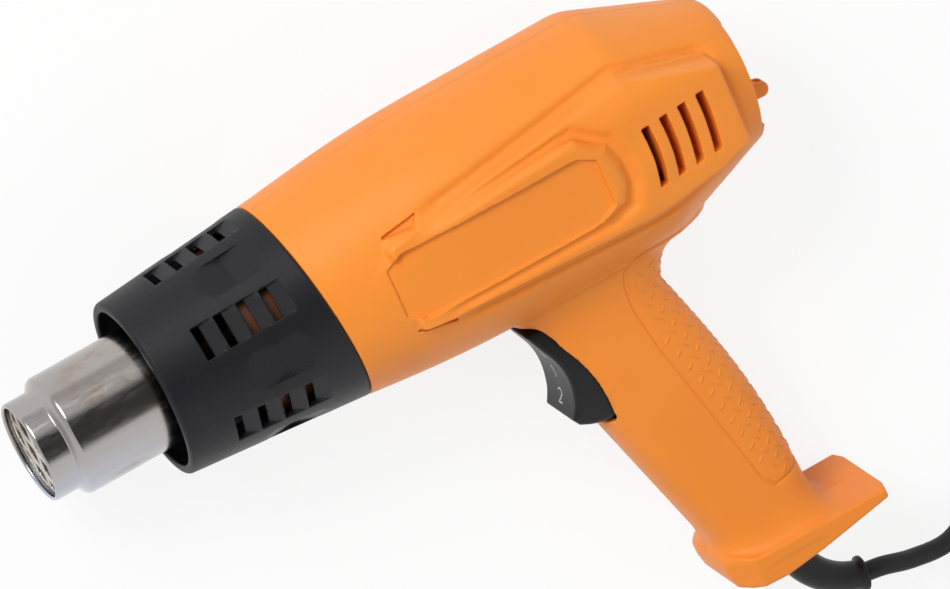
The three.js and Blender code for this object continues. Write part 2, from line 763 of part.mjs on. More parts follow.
function barrelHollow() {
  const inside = (x) => [x, barrelRadius(x) - WALL];
  const ribBore = bracketRing - RIB_DEPTH;
  const [front, rear] = [BRACKET_RING_START - FIT, bracketRingEnd + FIT];
  const flangeRibEnd = flangeEnd + FIT + RIB_THICKNESS;
  const profile = [
    [spigotStart - 10, 0],
    [spigotStart - 10, spigotBore],
    [flangeStart - FIT, spigotBore],
    [flangeStart - FIT, flangeRadius + FIT],
    [flangeEnd + FIT, flangeRadius + FIT],
    [flangeEnd + FIT, spigotBore],
    [flangeRibEnd, spigotBore],
    inside(flangeRibEnd),
    ...barrelStations(flangeRibEnd + 1, front - RIB_THICKNESS - 1).map(inside),
    inside(front - RIB_THICKNESS),
    [front - RIB_THICKNESS, ribBore],
    [front, ribBore],
    [front, bracketRing + FIT],
    [rear, bracketRing + FIT],
    [rear, ribBore],
    [rear + RIB_THICKNESS, ribBore],
    inside(rear + RIB_THICKNESS),
    inside(taperStart),
    inside(taperEnd),
    [taperEnd, 0],
  ];
  return revolve(profile, BARREL_SEGMENTS).intersect(inFrontOfStandPlane(-WALL));
}

// The rear cap and its opening share a frame that leans with the standing plane
const leaning = (geometry) => geometry.rotateZ(-STAND_ANGLE).translate(standPlane, 0, 0);

function leaningDisc(start, end, radius) {
  const geometry = new THREE.CylinderGeometry(radius, radius, end - start, ROUND_SEGMENTS);
  return solid(leaning(geometry.rotateZ(-Math.PI / 2).translate((start + end) / 2, 0, 0)));
}

// Gap between the upper and lower feet that the tool stands on
function betweenStandFeet() {
  const geometry = new THREE.BoxGeometry(REAR_OVERRUN, STAND_FOOT_GAP, 4 * TAPER_END_RADIUS);
  return solid(leaning(geometry.translate(REAR_OVERRUN / 2, 0, 0)));
}

const footUnderside = footUndersideAt(BOOT_PLACE);
const footFloor = footUnderside + FOOT_FLOOR;

const rockerReach = ROCKER_HALF_WIDTH + ROCKER_BOW;

// Front view of the rocker, widest in the middle of its opening, grown by a clearance
function bowedPlan(clearance) {
  const middle = (OPENING_TOP + OPENING_BOTTOM) / 2;
  const half = (OPENING_TOP - OPENING_BOTTOM) / 2;
  const edge = [];
  for (let i = 0; i <= BOW_STEPS; i += 1) {
    const along = 1 - (2 * i) / BOW_STEPS;
    edge.push([middle + half * along, ROCKER_HALF_WIDTH + ROCKER_BOW * (1 - along ** 2) + clearance]);
  }
  const near = edge.map(([y, z]) => new THREE.Vector2(-z, y));
  const far = edge.map(([y, z]) => new THREE.Vector2(z, y)).reverse();
  const shape = new THREE.Shape([...near, ...far]);
  const depth = OPENING_DEPTH - ROOT_FRONT;
  const geometry = new THREE.ExtrudeGeometry(shape, { depth, bevelEnabled: false });
  return solid(geometry.rotateY(Math.PI / 2).translate(ROOT_FRONT, 0, 0));
}

function rockerOpening() {
  const outline = [
    [ROOT_FRONT, OPENING_TOP],
    [OPENING_DEPTH - 5, OPENING_TOP],
    [OPENING_DEPTH, OPENING_TOP - 8],
    [OPENING_DEPTH, OPENING_BOTTOM + 8],
    [OPENING_DEPTH - 3, OPENING_BOTTOM],
    [ROOT_FRONT, OPENING_BOTTOM],
  ];
  const half = rockerReach + ROCKER_CLEARANCE;
  return prism(outline, -half, half).intersect(bowedPlan(ROCKER_CLEARANCE));
}

// Body as one hollow moulding, before it is parted
function wholeBody() {
  const sides = [1, -1];
  const outside = joined([
    barrelForm(),
    gripForm(FOOT_TOP, 0, GRIP_SEGMENTS),
    footForm(),
    ...sides.map(panelForm),
    ...sides.map(frameForm),
  ])
    .subtract(joined(sides.map(fieldCut)))
    .intersect(inFrontOfStandPlane(STAND_FOOT_HEIGHT))
    .subtract(betweenStandFeet());
  const bosses = joined(
    SCREW_PLACES.map(([x, y]) => crossBar(x, y, BOSS_RADIUS, -BARREL_RADIUS, BARREL_RADIUS)),
  );
  const padY = SWITCH_TOP - SWITCH_HEIGHT / 2;
  const padX = SWITCH_START + SWITCH_LENGTH / 2;
  const [padNear, padFar] = [SWITCH_HALF_WIDTH + FIT, GRIP_HALF_WIDTH];
  const pads = joined(
    sides.map((side) => {
      const [z0, z1] = side > 0 ? [padNear, padFar] : [-padFar, -padNear];
      return block(padX - 6, padX + 6, padY - 2, padY + 2, z0, z1);
    }),
  );
  const clampBlock = block(
    BOOT_PLACE - CLAMP_LENGTH / 2,
    BOOT_PLACE + CLAMP_LENGTH / 2,
    CLAMP_Y - CLAMP_HEIGHT / 2,
    CLAMP_Y + CLAMP_HEIGHT / 2,
    -GRIP_HALF_WIDTH,
    -CORD_RADIUS - FIT,
  );
  const hollow = barrelHollow().add(gripForm(footFloor, WALL, HOLLOW_SEGMENTS));
  const inner = joined([bosses, pads, clampBlock]).intersect(outside);
  const [pivotX, pivotY] = ROCKER_PIVOT;
  const pinReach = rockerReach + ROCKER_PIN_LENGTH + FIT;
  const cuts = [
    ...sides.map(ventCuts),
    leaningDisc(-WALL - 2, 10, INTAKE_RADIUS),
    crossBar(pivotX, pivotY, ROCKER_PIN_RADIUS + FIT, -pinReach, pinReach),
    bootHole(),
    ...clampScrewHoles(),
  ];
  return outside.subtract(hollow).add(inner).subtract(joined(cuts)).subtract(rockerOpening());
}

function bootHole() {
  const depth = FOOT_FLOOR + BOOT_HOLE_OVERRUN;
  const geometry = new THREE.CylinderGeometry(BOOT_RADIUS + FIT, BOOT_RADIUS + FIT, depth, ROUND_SEGMENTS);
  return solid(geometry.translate(BOOT_PLACE, footFloor - depth / 2 + 1, 0));
}

const clampScrewPlaces = [-1, 1].map((side) => BOOT_PLACE + (side * CLAMP_SCREW_SPACING) / 2);

function clampScrewHoles() {
  return clampScrewPlaces.map((x) =>
    crossBar(x, CLAMP_Y, SCREW_RADIUS + FIT, -SCREW_REACH - FIT, CORD_RADIUS),
  );
}

// Screw holes: a counterbore from the right side, then a bore that ends inside the left half
function screwHoles() {
  const reach = 2 * BARREL_RADIUS;
  return joined(
    SCREW_PLACES.flatMap(([x, y]) => [
      crossBar(x, y, SCREW_HEAD_RADIUS + FIT, -reach, -BOSS_SEAT),
      crossBar(x, y, SCREW_RADIUS + FIT, -BOSS_SEAT - 1, SCREW_REACH + FIT),
    ]),
  );
}

function halves() {
  const body = wholeBody().subtract(screwHoles());
  const size = 600;
  const part = FIT / 2;
  return {
    left: body.intersect(block(-size, size, -size, size, part, size)),
    right: body.intersect(block(-size, size, -size, size, -size, -part)),
  };
}

function shellScrew(x, y) {
  const seat = -BOSS_SEAT - FIT;
  const head = crossBar(x, y, SCREW_HEAD_RADIUS, seat - SCREW_HEAD_THICKNESS, seat);
  return head.add(crossBar(x, y, SCREW_RADIUS, seat - SCREW_HEAD_THICKNESS / 2, SCREW_REACH));
}

// Outlet tube: rolled tip, step, drawn tube and a flange at the back
function nozzleTube() {
  const tubeStart = TIP_LENGTH + STEP_LENGTH;
  const roll = NOZZLE_WALL;
  const profile = [
    [roll, TIP_RADIUS - 2 * roll],
    [0, TIP_RADIUS - 1.5 * roll],
    [0, TIP_RADIUS - 0.5 * roll],
    [roll, TIP_RADIUS],
    [TIP_LENGTH, TIP_RADIUS],
    [TIP_LENGTH + 0.6 * STEP_LENGTH, NOZZLE_RADIUS - 0.6],
    [tubeStart, NOZZLE_RADIUS],
    [flangeStart - 2, NOZZLE_RADIUS],
    [flangeStart, NOZZLE_RADIUS + 2],
    [flangeStart, flangeRadius],
    [flangeEnd, flangeRadius],
    [flangeEnd, NOZZLE_RADIUS - NOZZLE_WALL],
    [tubeStart + roll, NOZZLE_RADIUS - NOZZLE_WALL],
    [TIP_LENGTH + roll, TIP_RADIUS - NOZZLE_WALL],
    [2 * roll, TIP_RADIUS - NOZZLE_WALL],
    [roll, TIP_RADIUS - 2 * roll],
  ];
  return revolve(profile, NOZZLE_SEGMENTS);
}

// Outlet lattice: slanted bars crossing upright ones inside a rim
function nozzleGrille() {
  const rim = TIP_RADIUS - NOZZLE_WALL - FIT;
  const start = GRILLE_SETBACK;
  const end = start + GRILLE_THICKNESS;
  const bars = [];
  const rows = Math.floor(rim / GRILLE_PITCH);
  for (const angle of [GRILLE_ANGLE, GRILLE_ANGLE + Math.PI / 2.6]) {
    for (let i = -rows; i <= rows; i += 1) {
      const bar = new THREE.BoxGeometry(GRILLE_THICKNESS, GRILLE_BAR, 3 * rim);
      bar.translate((start + end) / 2, i * GRILLE_PITCH, 0);
      bars.push(solid(bar.rotateX(angle)));
    }
  }
  const inside = disc(start, end, rim - GRILLE_BAR / 2);
  return joined(bars).intersect(inside).add(pipe(start, end, rim, rim - GRILLE_BAR));
}

// Guard: tapered shell with rows of slots, each with a ramp behind it, and thumb flats between the rows
function heatGuard() {
  const inner = (x) => guardRadius(x) - GUARD_WALL;
  const lip = GUARD_LIP;
  const shell = revolve(
    [
      [GUARD_START + lip, inner(GUARD_START) - lip],
      [GUARD_START, inner(GUARD_START)],
      [GUARD_START, guardRadius(GUARD_START) - lip],
      [GUARD_START + lip, guardRadius(GUARD_START + lip)],
      [guardEnd + jointReach, guardRadius(guardEnd + jointReach)],
      [guardEnd + jointReach, inner(guardEnd + jointReach)],
      [spigotStart - FIT, inner(spigotStart - FIT)],
      [GUARD_START + 3 * lip, inner(GUARD_START)],
      [GUARD_START + lip, inner(GUARD_START) - lip],
    ],
    BARREL_SEGMENTS,
  );
  const cuts = [];
  for (let row = 0; row < SLOT_ROWS; row += 1) {
    const turn = (row * 2 * Math.PI) / SLOT_ROWS;
    for (let i = 0; i < SLOTS_PER_ROW; i += 1) {
      const x = GUARD_START + SLOT_START + i * SLOT_PITCH;
      const radius = guardRadius(x);
      const slotEnd = x + SLOT_LENGTH;
      const outline = [
        [x, radius - 2 * GUARD_WALL],
        [slotEnd, radius - 2 * GUARD_WALL],
        [slotEnd, radius - GUARD_WALL / 2],
        [slotEnd + 2 * SLOT_RAMP, radius + GUARD_WALL / 2],
        [slotEnd + 2 * SLOT_RAMP, radius + GUARD_WALL],
        [x, radius + GUARD_WALL],
      ];
      cuts.push(prism(outline, -SLOT_WIDTH / 2, SLOT_WIDTH / 2, turn));
    }
    const flat = new THREE.BoxGeometry(THUMB_FACET_SIZE, 10, 3 * THUMB_FACET_SIZE);
    const x = GUARD_START + THUMB_FACET_PLACE;
    flat.translate(x, guardRadius(x) - THUMB_FACET_DEPTH + 5, 0);
    cuts.push(solid(flat.rotateX(turn + Math.PI / SLOT_ROWS)));
  }
  return shell.subtract(joined(cuts)).subtract(behindJoint(0));
}

// Heater stack inside the outlet tube
const sleeveStart = TIP_LENGTH + STEP_LENGTH + 2;
const sleeveOuter = NOZZLE_RADIUS - NOZZLE_WALL - FIT;
const sleeveInner = sleeveOuter - SLEEVE_WALL;
const formerStart = sleeveStart + FORMER_SETBACK;
const formerEnd = sleeveStart + SLEEVE_LENGTH - BASE_THICKNESS - FIT;
const baseStart = formerEnd + FIT;
const baseEnd = baseStart + BASE_THICKNESS;

function fins(start, end, radius, thickness) {
  const half = thickness / 2;
  const upright = block(start, end, -radius, radius, -half, half);
  return upright.add(block(start, end, -half, half, -radius, radius));
}

function heaterFormer() {
  const reach = sleeveInner - FIT;
  return joined([
    fins(formerStart, formerEnd, FORMER_RADIUS, FORMER_FIN),
    fins(formerStart, formerStart + FORMER_END, reach, FORMER_FIN),
    fins(formerEnd - FORMER_END, formerEnd, reach, FORMER_FIN),
  ]);
}

class Helix extends THREE.Curve {
  constructor(start, end, radius, turns) {
    super();
    Object.assign(this, { start, end, radius, turns });
  }

  getPoint(t, target = new THREE.Vector3()) {
    const turn = 2 * Math.PI * this.turns * t;
    const x = THREE.MathUtils.lerp(this.start, this.end, t);
    return target.set(x, this.radius * Math.cos(turn), this.radius * Math.sin(turn));
  }
}

function heatingCoil() {
  const radius = FORMER_RADIUS + FIT + HEATER_WIRE / 2 / Math.cos(Math.PI / HEATER_STEPS) + 0.5;
  const start = formerStart + FORMER_END + HEATER_WIRE;
  const end = formerEnd - FORMER_END - HEATER_WIRE;
  const helix = new Helix(start, end, radius, HEATER_TURNS);
  console.log("heating coil gap", ((end - start) / HEATER_TURNS - HEATER_WIRE).toFixed(2));
  return tube(helix, HEATER_WIRE / 2, HEATER_TURNS * HEATER_STEPS, 5);
}

function heaterBase() {
  const rim = sleeveInner - FIT;
  return joined([
    pipe(baseStart, baseEnd, rim, rim - BASE_RIM),
    fins(baseStart, baseEnd, rim - BASE_RIM / 2, 2 * FORMER_FIN),
    disc(baseStart, baseEnd, BASE_HUB),
  ]);
}

function thermalCutout() {
  const y = (sleeveInner - BASE_RIM + BASE_HUB) / 2;
  const geometry = new THREE.CylinderGeometry(CUTOUT_RADIUS, CUTOUT_RADIUS, CUTOUT_LENGTH, SMALL_SEGMENTS);
  const x = baseEnd + FIT + CUTOUT_LENGTH / 2;
  return solid(geometry.rotateZ(Math.PI / 2).translate(x, y, 0));
}

// Motor in its bracket, and the fan on its shaft
const motorEnd = MOTOR_START + MOTOR_LENGTH;
const endcapStart = MOTOR_START - FIT - ENDCAP_LENGTH;
const boardEnd = endcapStart - TERMINAL_LENGTH - FIT;

function motorCan() {
  const bearing = disc(motorEnd - 1, motorEnd + 3, 3 * SHAFT_RADIUS, SMALL_SEGMENTS);
  const bore = disc(motorEnd - MOTOR_BORE_DEPTH, motorEnd + 4, SHAFT_RADIUS + FIT, SMALL_SEGMENTS);
  return disc(MOTOR_START, motorEnd, MOTOR_RADIUS).add(bearing).subtract(bore);
}

function motorEndcap() {
  const terminal = (side) =>
    block(
      endcapStart - TERMINAL_LENGTH,
      endcapStart + 1,
      -1,
      1,
      side * (BOARD_RADIUS - 3) - 1,
      side * (BOARD_RADIUS - 3) + 1,
    );
  const cap = disc(endcapStart, MOTOR_START - FIT, MOTOR_RADIUS - 0.4);
  return joined([cap, terminal(1), terminal(-1)]);
}

function motorBracket() {
  const bore = MOTOR_RADIUS + FIT;
  const sleeve = bore + BRACKET_WALL;
  const parts = [
    pipe(MOTOR_START + 4, motorEnd - 2, sleeve, bore),
    pipe(BRACKET_RING_START, bracketRingEnd, bracketRing, bracketRing - BRACKET_RING_WALL, BARREL_SEGMENTS),
  ];
  const [inner, outer] = [bore + BRACKET_WALL / 2, bracketRing - BRACKET_RING_WALL / 2];
  for (let i = 0; i < VANE_COUNT; i += 1) {
    const vane = new THREE.BoxGeometry(BRACKET_RING_WIDTH, outer - inner, VANE_THICKNESS);
    vane.translate(BRACKET_RING_START + BRACKET_RING_WIDTH / 2, (inner + outer) / 2, 0);
    parts.push(solid(vane.rotateX((2 * Math.PI * i) / VANE_COUNT)));
  }
  return joined(parts);
}

const fanRadius = barrelRadius(FAN_START) - WALL - RUNNING_GAP;

// One blade: a plate that flattens from root to tip
function fanBlade(turn) {
  const rings = [];
  const middle = FAN_START + FAN_LENGTH / 2;
  const stations = 4;
  for (let i = 0; i < stations; i += 1) {
    const along = i / (stations - 1);
    const radius = THREE.MathUtils.lerp(FAN_HUB_RADIUS - 1.5, fanRadius, along);
    const pitch = THREE.MathUtils.lerp(FAN_ROOT_PITCH, FAN_TIP_PITCH, along);
    const chord = THREE.MathUtils.lerp(FAN_LENGTH * 0.9, FAN_LENGTH * 1.1, along) / 2;
    const half = FAN_BLADE_THICKNESS / 2;
    const corners = [
      [-chord, -half],
      [chord, -half],
      [chord, half],
      [-chord, half],
    ];
    rings.push(
      corners.map(([c, h]) => {
        const x = middle + c * Math.sin(pitch) + h * Math.cos(pitch);
        const z = c * Math.cos(pitch) - h * Math.sin(pitch);
        return new THREE.Vector3(x, radius, z).applyAxisAngle(new THREE.Vector3(1, 0, 0), turn);
      }),
    );
  }
  return loft(rings);
}

function fanImpeller() {
  const bore = SHAFT_RADIUS + FIT;
  const hub = revolve([
    [FAN_START, bore],
    [FAN_START, FAN_HUB_RADIUS],
    [FAN_START + FAN_LENGTH - 4, FAN_HUB_RADIUS],
    [FAN_START + FAN_LENGTH, FAN_HUB_RADIUS - 3],
    [FAN_START + FAN_LENGTH, bore],
    [FAN_START, bore],
  ]);
  const blades = Array.from({ length: FAN_BLADES }, (_, i) => fanBlade((2 * Math.PI * i) / FAN_BLADES));
  const fanEnd = FAN_START + FAN_LENGTH;
  const space = disc(FAN_START, fanEnd, fanRadius, BARREL_SEGMENTS);
  return joined([hub, ...blades]).intersect(space).subtract(disc(FAN_START - 1, fanEnd + 1, bore));
}

const motorShaft = () =>
  disc(motorEnd - MOTOR_BORE_DEPTH + FIT, FAN_START + FAN_LENGTH + 2, SHAFT_RADIUS, SMALL_SEGMENTS);

// Intake cap: captive flange, slotted face and a lug to hang the tool by
function rearCap() {
  const radius = INTAKE_RADIUS - FIT;
  const flangeRear = -WALL - FIT;
  const flangeFront = flangeRear - CAP_FLANGE_THICKNESS;
  const face = leaningDisc(flangeFront, CAP_PROUD, radius);
  const flange = leaningDisc(flangeFront, flangeRear, INTAKE_RADIUS + CAP_FLANGE_RIM);
  const slots = [];
  const middle = (CAP_SLOT_COUNT - 1) / 2;
  const slotReach = 3 * (CAP_PROUD - flangeFront);
  for (let i = 0; i < CAP_SLOT_COUNT; i += 1) {
    const y = (i - middle) * CAP_SLOT_PITCH;
    const half = Math.sqrt((radius - CAP_RIM) ** 2 - (Math.abs(y) + CAP_SLOT_HEIGHT / 2) ** 2);
    for (const side of [1, -1]) {
      const gap = LUG_WIDTH / 2 + 1;
      const slot = new THREE.BoxGeometry(slotReach, CAP_SLOT_HEIGHT, half - gap);
      slots.push(solid(leaning(slot.translate(0, y, (side * (half + gap)) / 2))));
    }
  }
  const lugTop = LUG_Y + LUG_HEIGHT / 2;
  const reach = CAP_PROUD + LUG_REACH;
  const lugShape = new THREE.Shape();
  lugShape.moveTo(0, lugTop + LUG_FLARE);
  lugShape.lineTo(reach - LUG_HEIGHT / 2, lugTop);
  lugShape.absarc(reach - LUG_HEIGHT / 2, LUG_Y, LUG_HEIGHT / 2, Math.PI / 2, -Math.PI / 2, true);
  lugShape.lineTo(0, LUG_Y - LUG_HEIGHT / 2);
  const across = { depth: LUG_WIDTH, bevelEnabled: false, curveSegments: 8 };
  const lug = new THREE.ExtrudeGeometry(lugShape, across);
  const hole = new THREE.CylinderGeometry(LUG_HOLE, LUG_HOLE, 3 * LUG_HEIGHT, SMALL_SEGMENTS);
  hole.translate(reach - LUG_HEIGHT / 2, LUG_Y, 0);
  return joined([face, flange])
    .subtract(joined(slots))
    .add(solid(leaning(lug.translate(0, 0, -LUG_WIDTH / 2))))
    .subtract(solid(leaning(hole)));
}

// Rocker: its side outline at rest, with the lower end standing out, and a pin at each side
function switchRocker() {
  const [pivotX, pivotY] = ROCKER_PIVOT;
  const outline = [...ROCKER_FACE, ...ROCKER_REAR].map(([x, y]) => [pivotX + x, pivotY + y]);
  const body = solid(roundedPrism(outline, -rockerReach, rockerReach, ROCKER_BEVEL, 1));
  const reach = rockerReach + ROCKER_PIN_LENGTH;
  return body.intersect(bowedPlan(0)).add(crossBar(...ROCKER_PIVOT, ROCKER_PIN_RADIUS, -reach, reach));
}

function switchBody() {
  const [x0, x1] = [SWITCH_START, SWITCH_START + SWITCH_LENGTH];
  const outline = [
    [x0 + 2, SWITCH_TOP],
    [x1, SWITCH_TOP],
    [x1, SWITCH_TOP - SWITCH_HEIGHT],
    [x0 + 2, SWITCH_TOP - SWITCH_HEIGHT],
    [x0, SWITCH_TOP - SWITCH_HEIGHT + 3],
    [x0, SWITCH_TOP - 3],
  ];
  return prism(outline, -SWITCH_HALF_WIDTH, SWITCH_HALF_WIDTH);
}

function capacitor() {
  const [length, height, width] = CAPACITOR_SIZE;
  const [bossX, bossY] = SCREW_PLACES[4];
  const end = bossX - BOSS_RADIUS - FIT;
  return block(end - length, end, bossY - height / 2, bossY + height / 2, -width / 2, width / 2);
}

function cableClamp() {
  const near = CORD_RADIUS + FIT;
  const [x0, x1] = [BOOT_PLACE - CLAMP_LENGTH / 2, BOOT_PLACE + CLAMP_LENGTH / 2];
  const [y0, y1] = [CLAMP_Y - CLAMP_HEIGHT / 2, CLAMP_Y + CLAMP_HEIGHT / 2];
  const holes = clampScrewPlaces.map((x) => crossBar(x, CLAMP_Y, SCREW_RADIUS + FIT, 0, GRIP_HALF_WIDTH));
  return block(x0, x1, y0, y1, near, near + CLAMP_THICKNESS).subtract(joined(holes));
}

function clampScrew(x) {
  const seat = CORD_RADIUS + CLAMP_THICKNESS + 2 * FIT;
  const head = crossBar(x, CLAMP_Y, CLAMP_SCREW_HEAD, seat, seat + SCREW_HEAD_THICKNESS);
  return head.add(crossBar(x, CLAMP_Y, SCREW_RADIUS, -SCREW_REACH, seat + 1));
}

// Strain relief: a collar inside the foot, then a boot that bends back towards the lead
function strainRelief() {
  const start = footUnderside;
  const bend = new THREE.Vector3(BOOT_PLACE + BOOT_BEND, start, 0);
  const collarTop = footFloor + FIT + BOOT_COLLAR_THICKNESS;
  const ringAt = (centre, tilt, radius) =>
    Array.from({ length: 16 }, (_, i) => {
      const turn = (2 * Math.PI * i) / 16;
      const across = radius * Math.cos(turn);
      const x = centre.x - across * Math.cos(tilt);
      const y = centre.y - across * Math.sin(tilt);
      return new THREE.Vector3(x, y, radius * Math.sin(turn));
    });
  const upright = (y, radius) => ringAt(new THREE.Vector3(BOOT_PLACE, y, 0), 0, radius);
  const rings = [
    upright(collarTop, BOOT_COLLAR_RADIUS),
    upright(footFloor + FIT, BOOT_COLLAR_RADIUS),
    upright(footFloor + FIT - 0.01, BOOT_RADIUS),
    upright(start, BOOT_RADIUS),
  ];
  const steps = 8;
  const rimTurn = BOOT_RIM_LENGTH / BOOT_BEND;
  const onBend = (tilt, radius) => {
    const x = bend.x - BOOT_BEND * Math.cos(tilt);
    const y = bend.y - BOOT_BEND * Math.sin(tilt);
    return ringAt(new THREE.Vector3(x, y, 0), tilt, radius);
  };
  for (let i = 1; i <= steps; i += 1) {
    const along = i / steps;
    const tilt = along * (BOOT_TURN - rimTurn);
    rings.push(onBend(tilt, THREE.MathUtils.lerp(BOOT_RADIUS, BOOT_END_RADIUS, along)));
  }
  rings.push(onBend(BOOT_TURN - rimTurn * 0.9, BOOT_RIM_RADIUS));
  rings.push(onBend(BOOT_TURN, BOOT_RIM_RADIUS));
  return loft(rings);
}

// Where the lead leaves the boot, a distance past its end face
function leadExit(past) {
  const x = BOOT_PLACE + BOOT_BEND * (1 - Math.cos(BOOT_TURN)) + past * Math.sin(BOOT_TURN);
  const y = footUnderside - BOOT_BEND * Math.sin(BOOT_TURN) - past * Math.cos(BOOT_TURN);
  return new THREE.Vector3(x, y, 0);
}

function cordTail() {
  const start = footFloor + BOOT_COLLAR_THICKNESS + 2 * FIT;
  const geometry = new THREE.CylinderGeometry(CORD_RADIUS, CORD_RADIUS, TAIL_TOP - start, SMALL_SEGMENTS);
  return solid(geometry.translate(BOOT_PLACE, (TAIL_TOP + start) / 2, 0));
}

function wire(points) {
  return tube(curveThrough(points), WIRE_RADIUS, WIRE_STEPS, WIRE_SIDES);
}

function supplyWire(side) {
  const switchEnd = SWITCH_TOP - SWITCH_HEIGHT - FIT;
  const rear = SWITCH_START + SWITCH_LENGTH;
  const [leave, part, rise, arrive] = SUPPLY_WIRE_SPREAD;
  return wire([
    [BOOT_PLACE, TAIL_TOP + FIT, side * leave],
    [BOOT_PLACE + SUPPLY_WIRE_SWAY, TAIL_TOP + WIRE_STEM, side * part],
    [BOOT_PLACE + SUPPLY_WIRE_SWAY, switchEnd - SUPPLY_WIRE_SWEEP, side * rise],
    [rear - SUPPLY_WIRE_INSET, switchEnd - SUPPLY_WIRE_INSET, side * arrive],
    [rear - SUPPLY_WIRE_INSET, switchEnd, side * arrive],
  ]);
}

function heaterWire(side) {
  const x = SWITCH_START + HEATER_WIRE_PLACE;
  const terminal = -BASE_HUB - HEATER_WIRE_DROP;
  const [pastRing, beforeMotor, pastFlange, pastBase] = HEATER_WIRE_STEPS;
  const [ringDepth, motorDepth, flangeDepth] = HEATER_WIRE_DEPTHS;
  const [run, widest, closing, arrive] = HEATER_WIRE_SPREAD;
  return wire([
    [x, SWITCH_TOP + FIT, side * run],
    [x, SWITCH_TOP + WIRE_STEM, side * run],
    [BRACKET_RING_START + pastRing, -ringDepth, side * run],
    [MOTOR_START - beforeMotor, -motorDepth, side * run],
    [flangeEnd + pastFlange, -flangeDepth, side * widest],
    [baseEnd + pastBase, terminal, side * closing],
    [baseEnd + FIT, terminal, side * arrive],
  ]);
}

function motorWire(side) {
  const x = SWITCH_START + MOTOR_WIRE_PLACE;
  const board = boardEnd - BOARD_THICKNESS - FIT;
  const [lean, stem] = MOTOR_WIRE_STEM;
  const [pastRing, beforeMotor, turn, approach] = MOTOR_WIRE_STEPS;
  const [ringDepth, motorDepth, turnDepth, terminalDepth] = MOTOR_WIRE_DEPTHS;
  const [leave, part, pass, widest, closing, arrive] = MOTOR_WIRE_SPREAD;
  return wire([
    [x, SWITCH_TOP + FIT, side * leave],
    [x - lean, SWITCH_TOP + stem, side * part],
    [BRACKET_RING_START + pastRing, -ringDepth, side * pass],
    [MOTOR_START - beforeMotor, -motorDepth, side * widest],
    [board - turn, -turnDepth, side * closing],
    [board - approach, -terminalDepth, side * arrive],
    [board, -terminalDepth, side * arrive],
  ]);
}

const orange = new THREE.MeshStandardMaterial({ color: 0xf58a1f, roughness: 0.5 });
const black = new THREE.MeshStandardMaterial({ color: 0x1c1c1e, roughness: 0.55 });
const steel = new THREE.MeshStandardMaterial({ color: 0xc9c7c2, roughness: 0.2, metalness: 1 });
const zinc = new THREE.MeshStandardMaterial({ color: 0x9a9ca0, roughness: 0.4, metalness: 1 });
const mica = new THREE.MeshStandardMaterial({ color: 0xcdbb93, roughness: 0.6 });
const ceramic = new THREE.MeshStandardMaterial({ color: 0xe9e4d8, roughness: 0.7 });
const nichrome = new THREE.MeshStandardMaterial({ color: 0x7d6f66, roughness: 0.45, metalness: 1 });
const board = new THREE.MeshStandardMaterial({ color: 0x2f6b3a, roughness: 0.6 });
const yellow = new THREE.MeshStandardMaterial({ color: 0xd9b02c, roughness: 0.5 });
const brown = new THREE.MeshStandardMaterial({ color: 0x6b3d22, roughness: 0.6 });
const blue = new THREE.MeshStandardMaterial({ color: 0x2b4c8c, roughness: 0.6 });
const brass = new THREE.MeshStandardMaterial({ color: 0xc8a24a, roughness: 0.3, metalness: 1 });

function piece(name, body, material) {
  const mesh = new THREE.Mesh(geometryOf(body), material);
  mesh.name = name;
  return mesh;
}

const tool = new THREE.Group();
const shells = halves();
tool.add(
  piece("left_shell", shells.left, orange),
  piece("right_shell", shells.right, orange),
  piece("heat_guard", heatGuard(), black),
  piece("rear_cap", rearCap(), orange),
  piece("nozzle_tube", nozzleTube(), steel),
  piece("nozzle_grille", nozzleGrille(), steel),
  piece("mica_sleeve", pipe(sleeveStart, sleeveStart + SLEEVE_LENGTH, sleeveOuter, sleeveInner), mica),
  piece("heater_former", heaterFormer(), mica),
  piece("heating_coil", heatingCoil(), nichrome),
  piece("heater_base", heaterBase(), ceramic),
  piece("thermal_cutout", thermalCutout(), zinc),
  piece("motor_bracket", motorBracket(), black),
  piece("motor_can", motorCan(), zinc),
  piece("motor_endcap", motorEndcap(), black),
  piece("rectifier_board", disc(boardEnd - BOARD_THICKNESS, boardEnd, BOARD_RADIUS), board),
  piece("motor_shaft", motorShaft(), steel),
  piece("fan_impeller", fanImpeller(), black),
  piece("switch_body", switchBody(), black),
  piece("switch_rocker", switchRocker(), black),
  piece("capacitor", capacitor(), yellow),
  piece("cable_clamp", cableClamp(), black),
  piece("strain_relief", strainRelief(), black),
  piece("cord_tail", cordTail(), black),
);
clampScrewPlaces.forEach((x, i) => tool.add(piece("clamp_screw_" + (i + 1), clampScrew(x), zinc)));
SCREW_PLACES.forEach(([x, y], i) => tool.add(piece("shell_screw_" + (i + 1), shellScrew(x, y), zinc)));
[1, -1].forEach((side, i) => {
  const material = side > 0 ? brown : blue;
  tool.add(piece("wire_supply_" + (i + 1), supplyWire(side), material));
  tool.add(piece("wire_heater_" + (i + 1), heaterWire(side), material));
  tool.add(piece("wire_motor_" + (i + 1), motorWire(side), material));
});

// The tool rolls onto its right side until a badge frame and the foot both touch the bench
function restRoll(geometry) {
  const place = geometry.getAttribute("position");
  const points = Array.from({ length: place.count }, (_, i) => [place.getY(i), place.getZ(i)]);
  const body = points.filter(([y]) => y > GRIP_TOP);
  const foot = points.filter(([y]) => y < NECK_Y);
  let roll = 0;
  for (let i = 0; i < 6; i += 1) {
    const lower = (a, b) => {
      const height = ([y, z]) => y * Math.sin(roll) + z * Math.cos(roll);
      return height(a) < height(b) ? a : b;
    };
    const p = body.reduce(lower);
    const q = foot.reduce(lower);
    roll = Math.atan2(q[1] - p[1], p[0] - q[0]);
  }
  return roll;
}

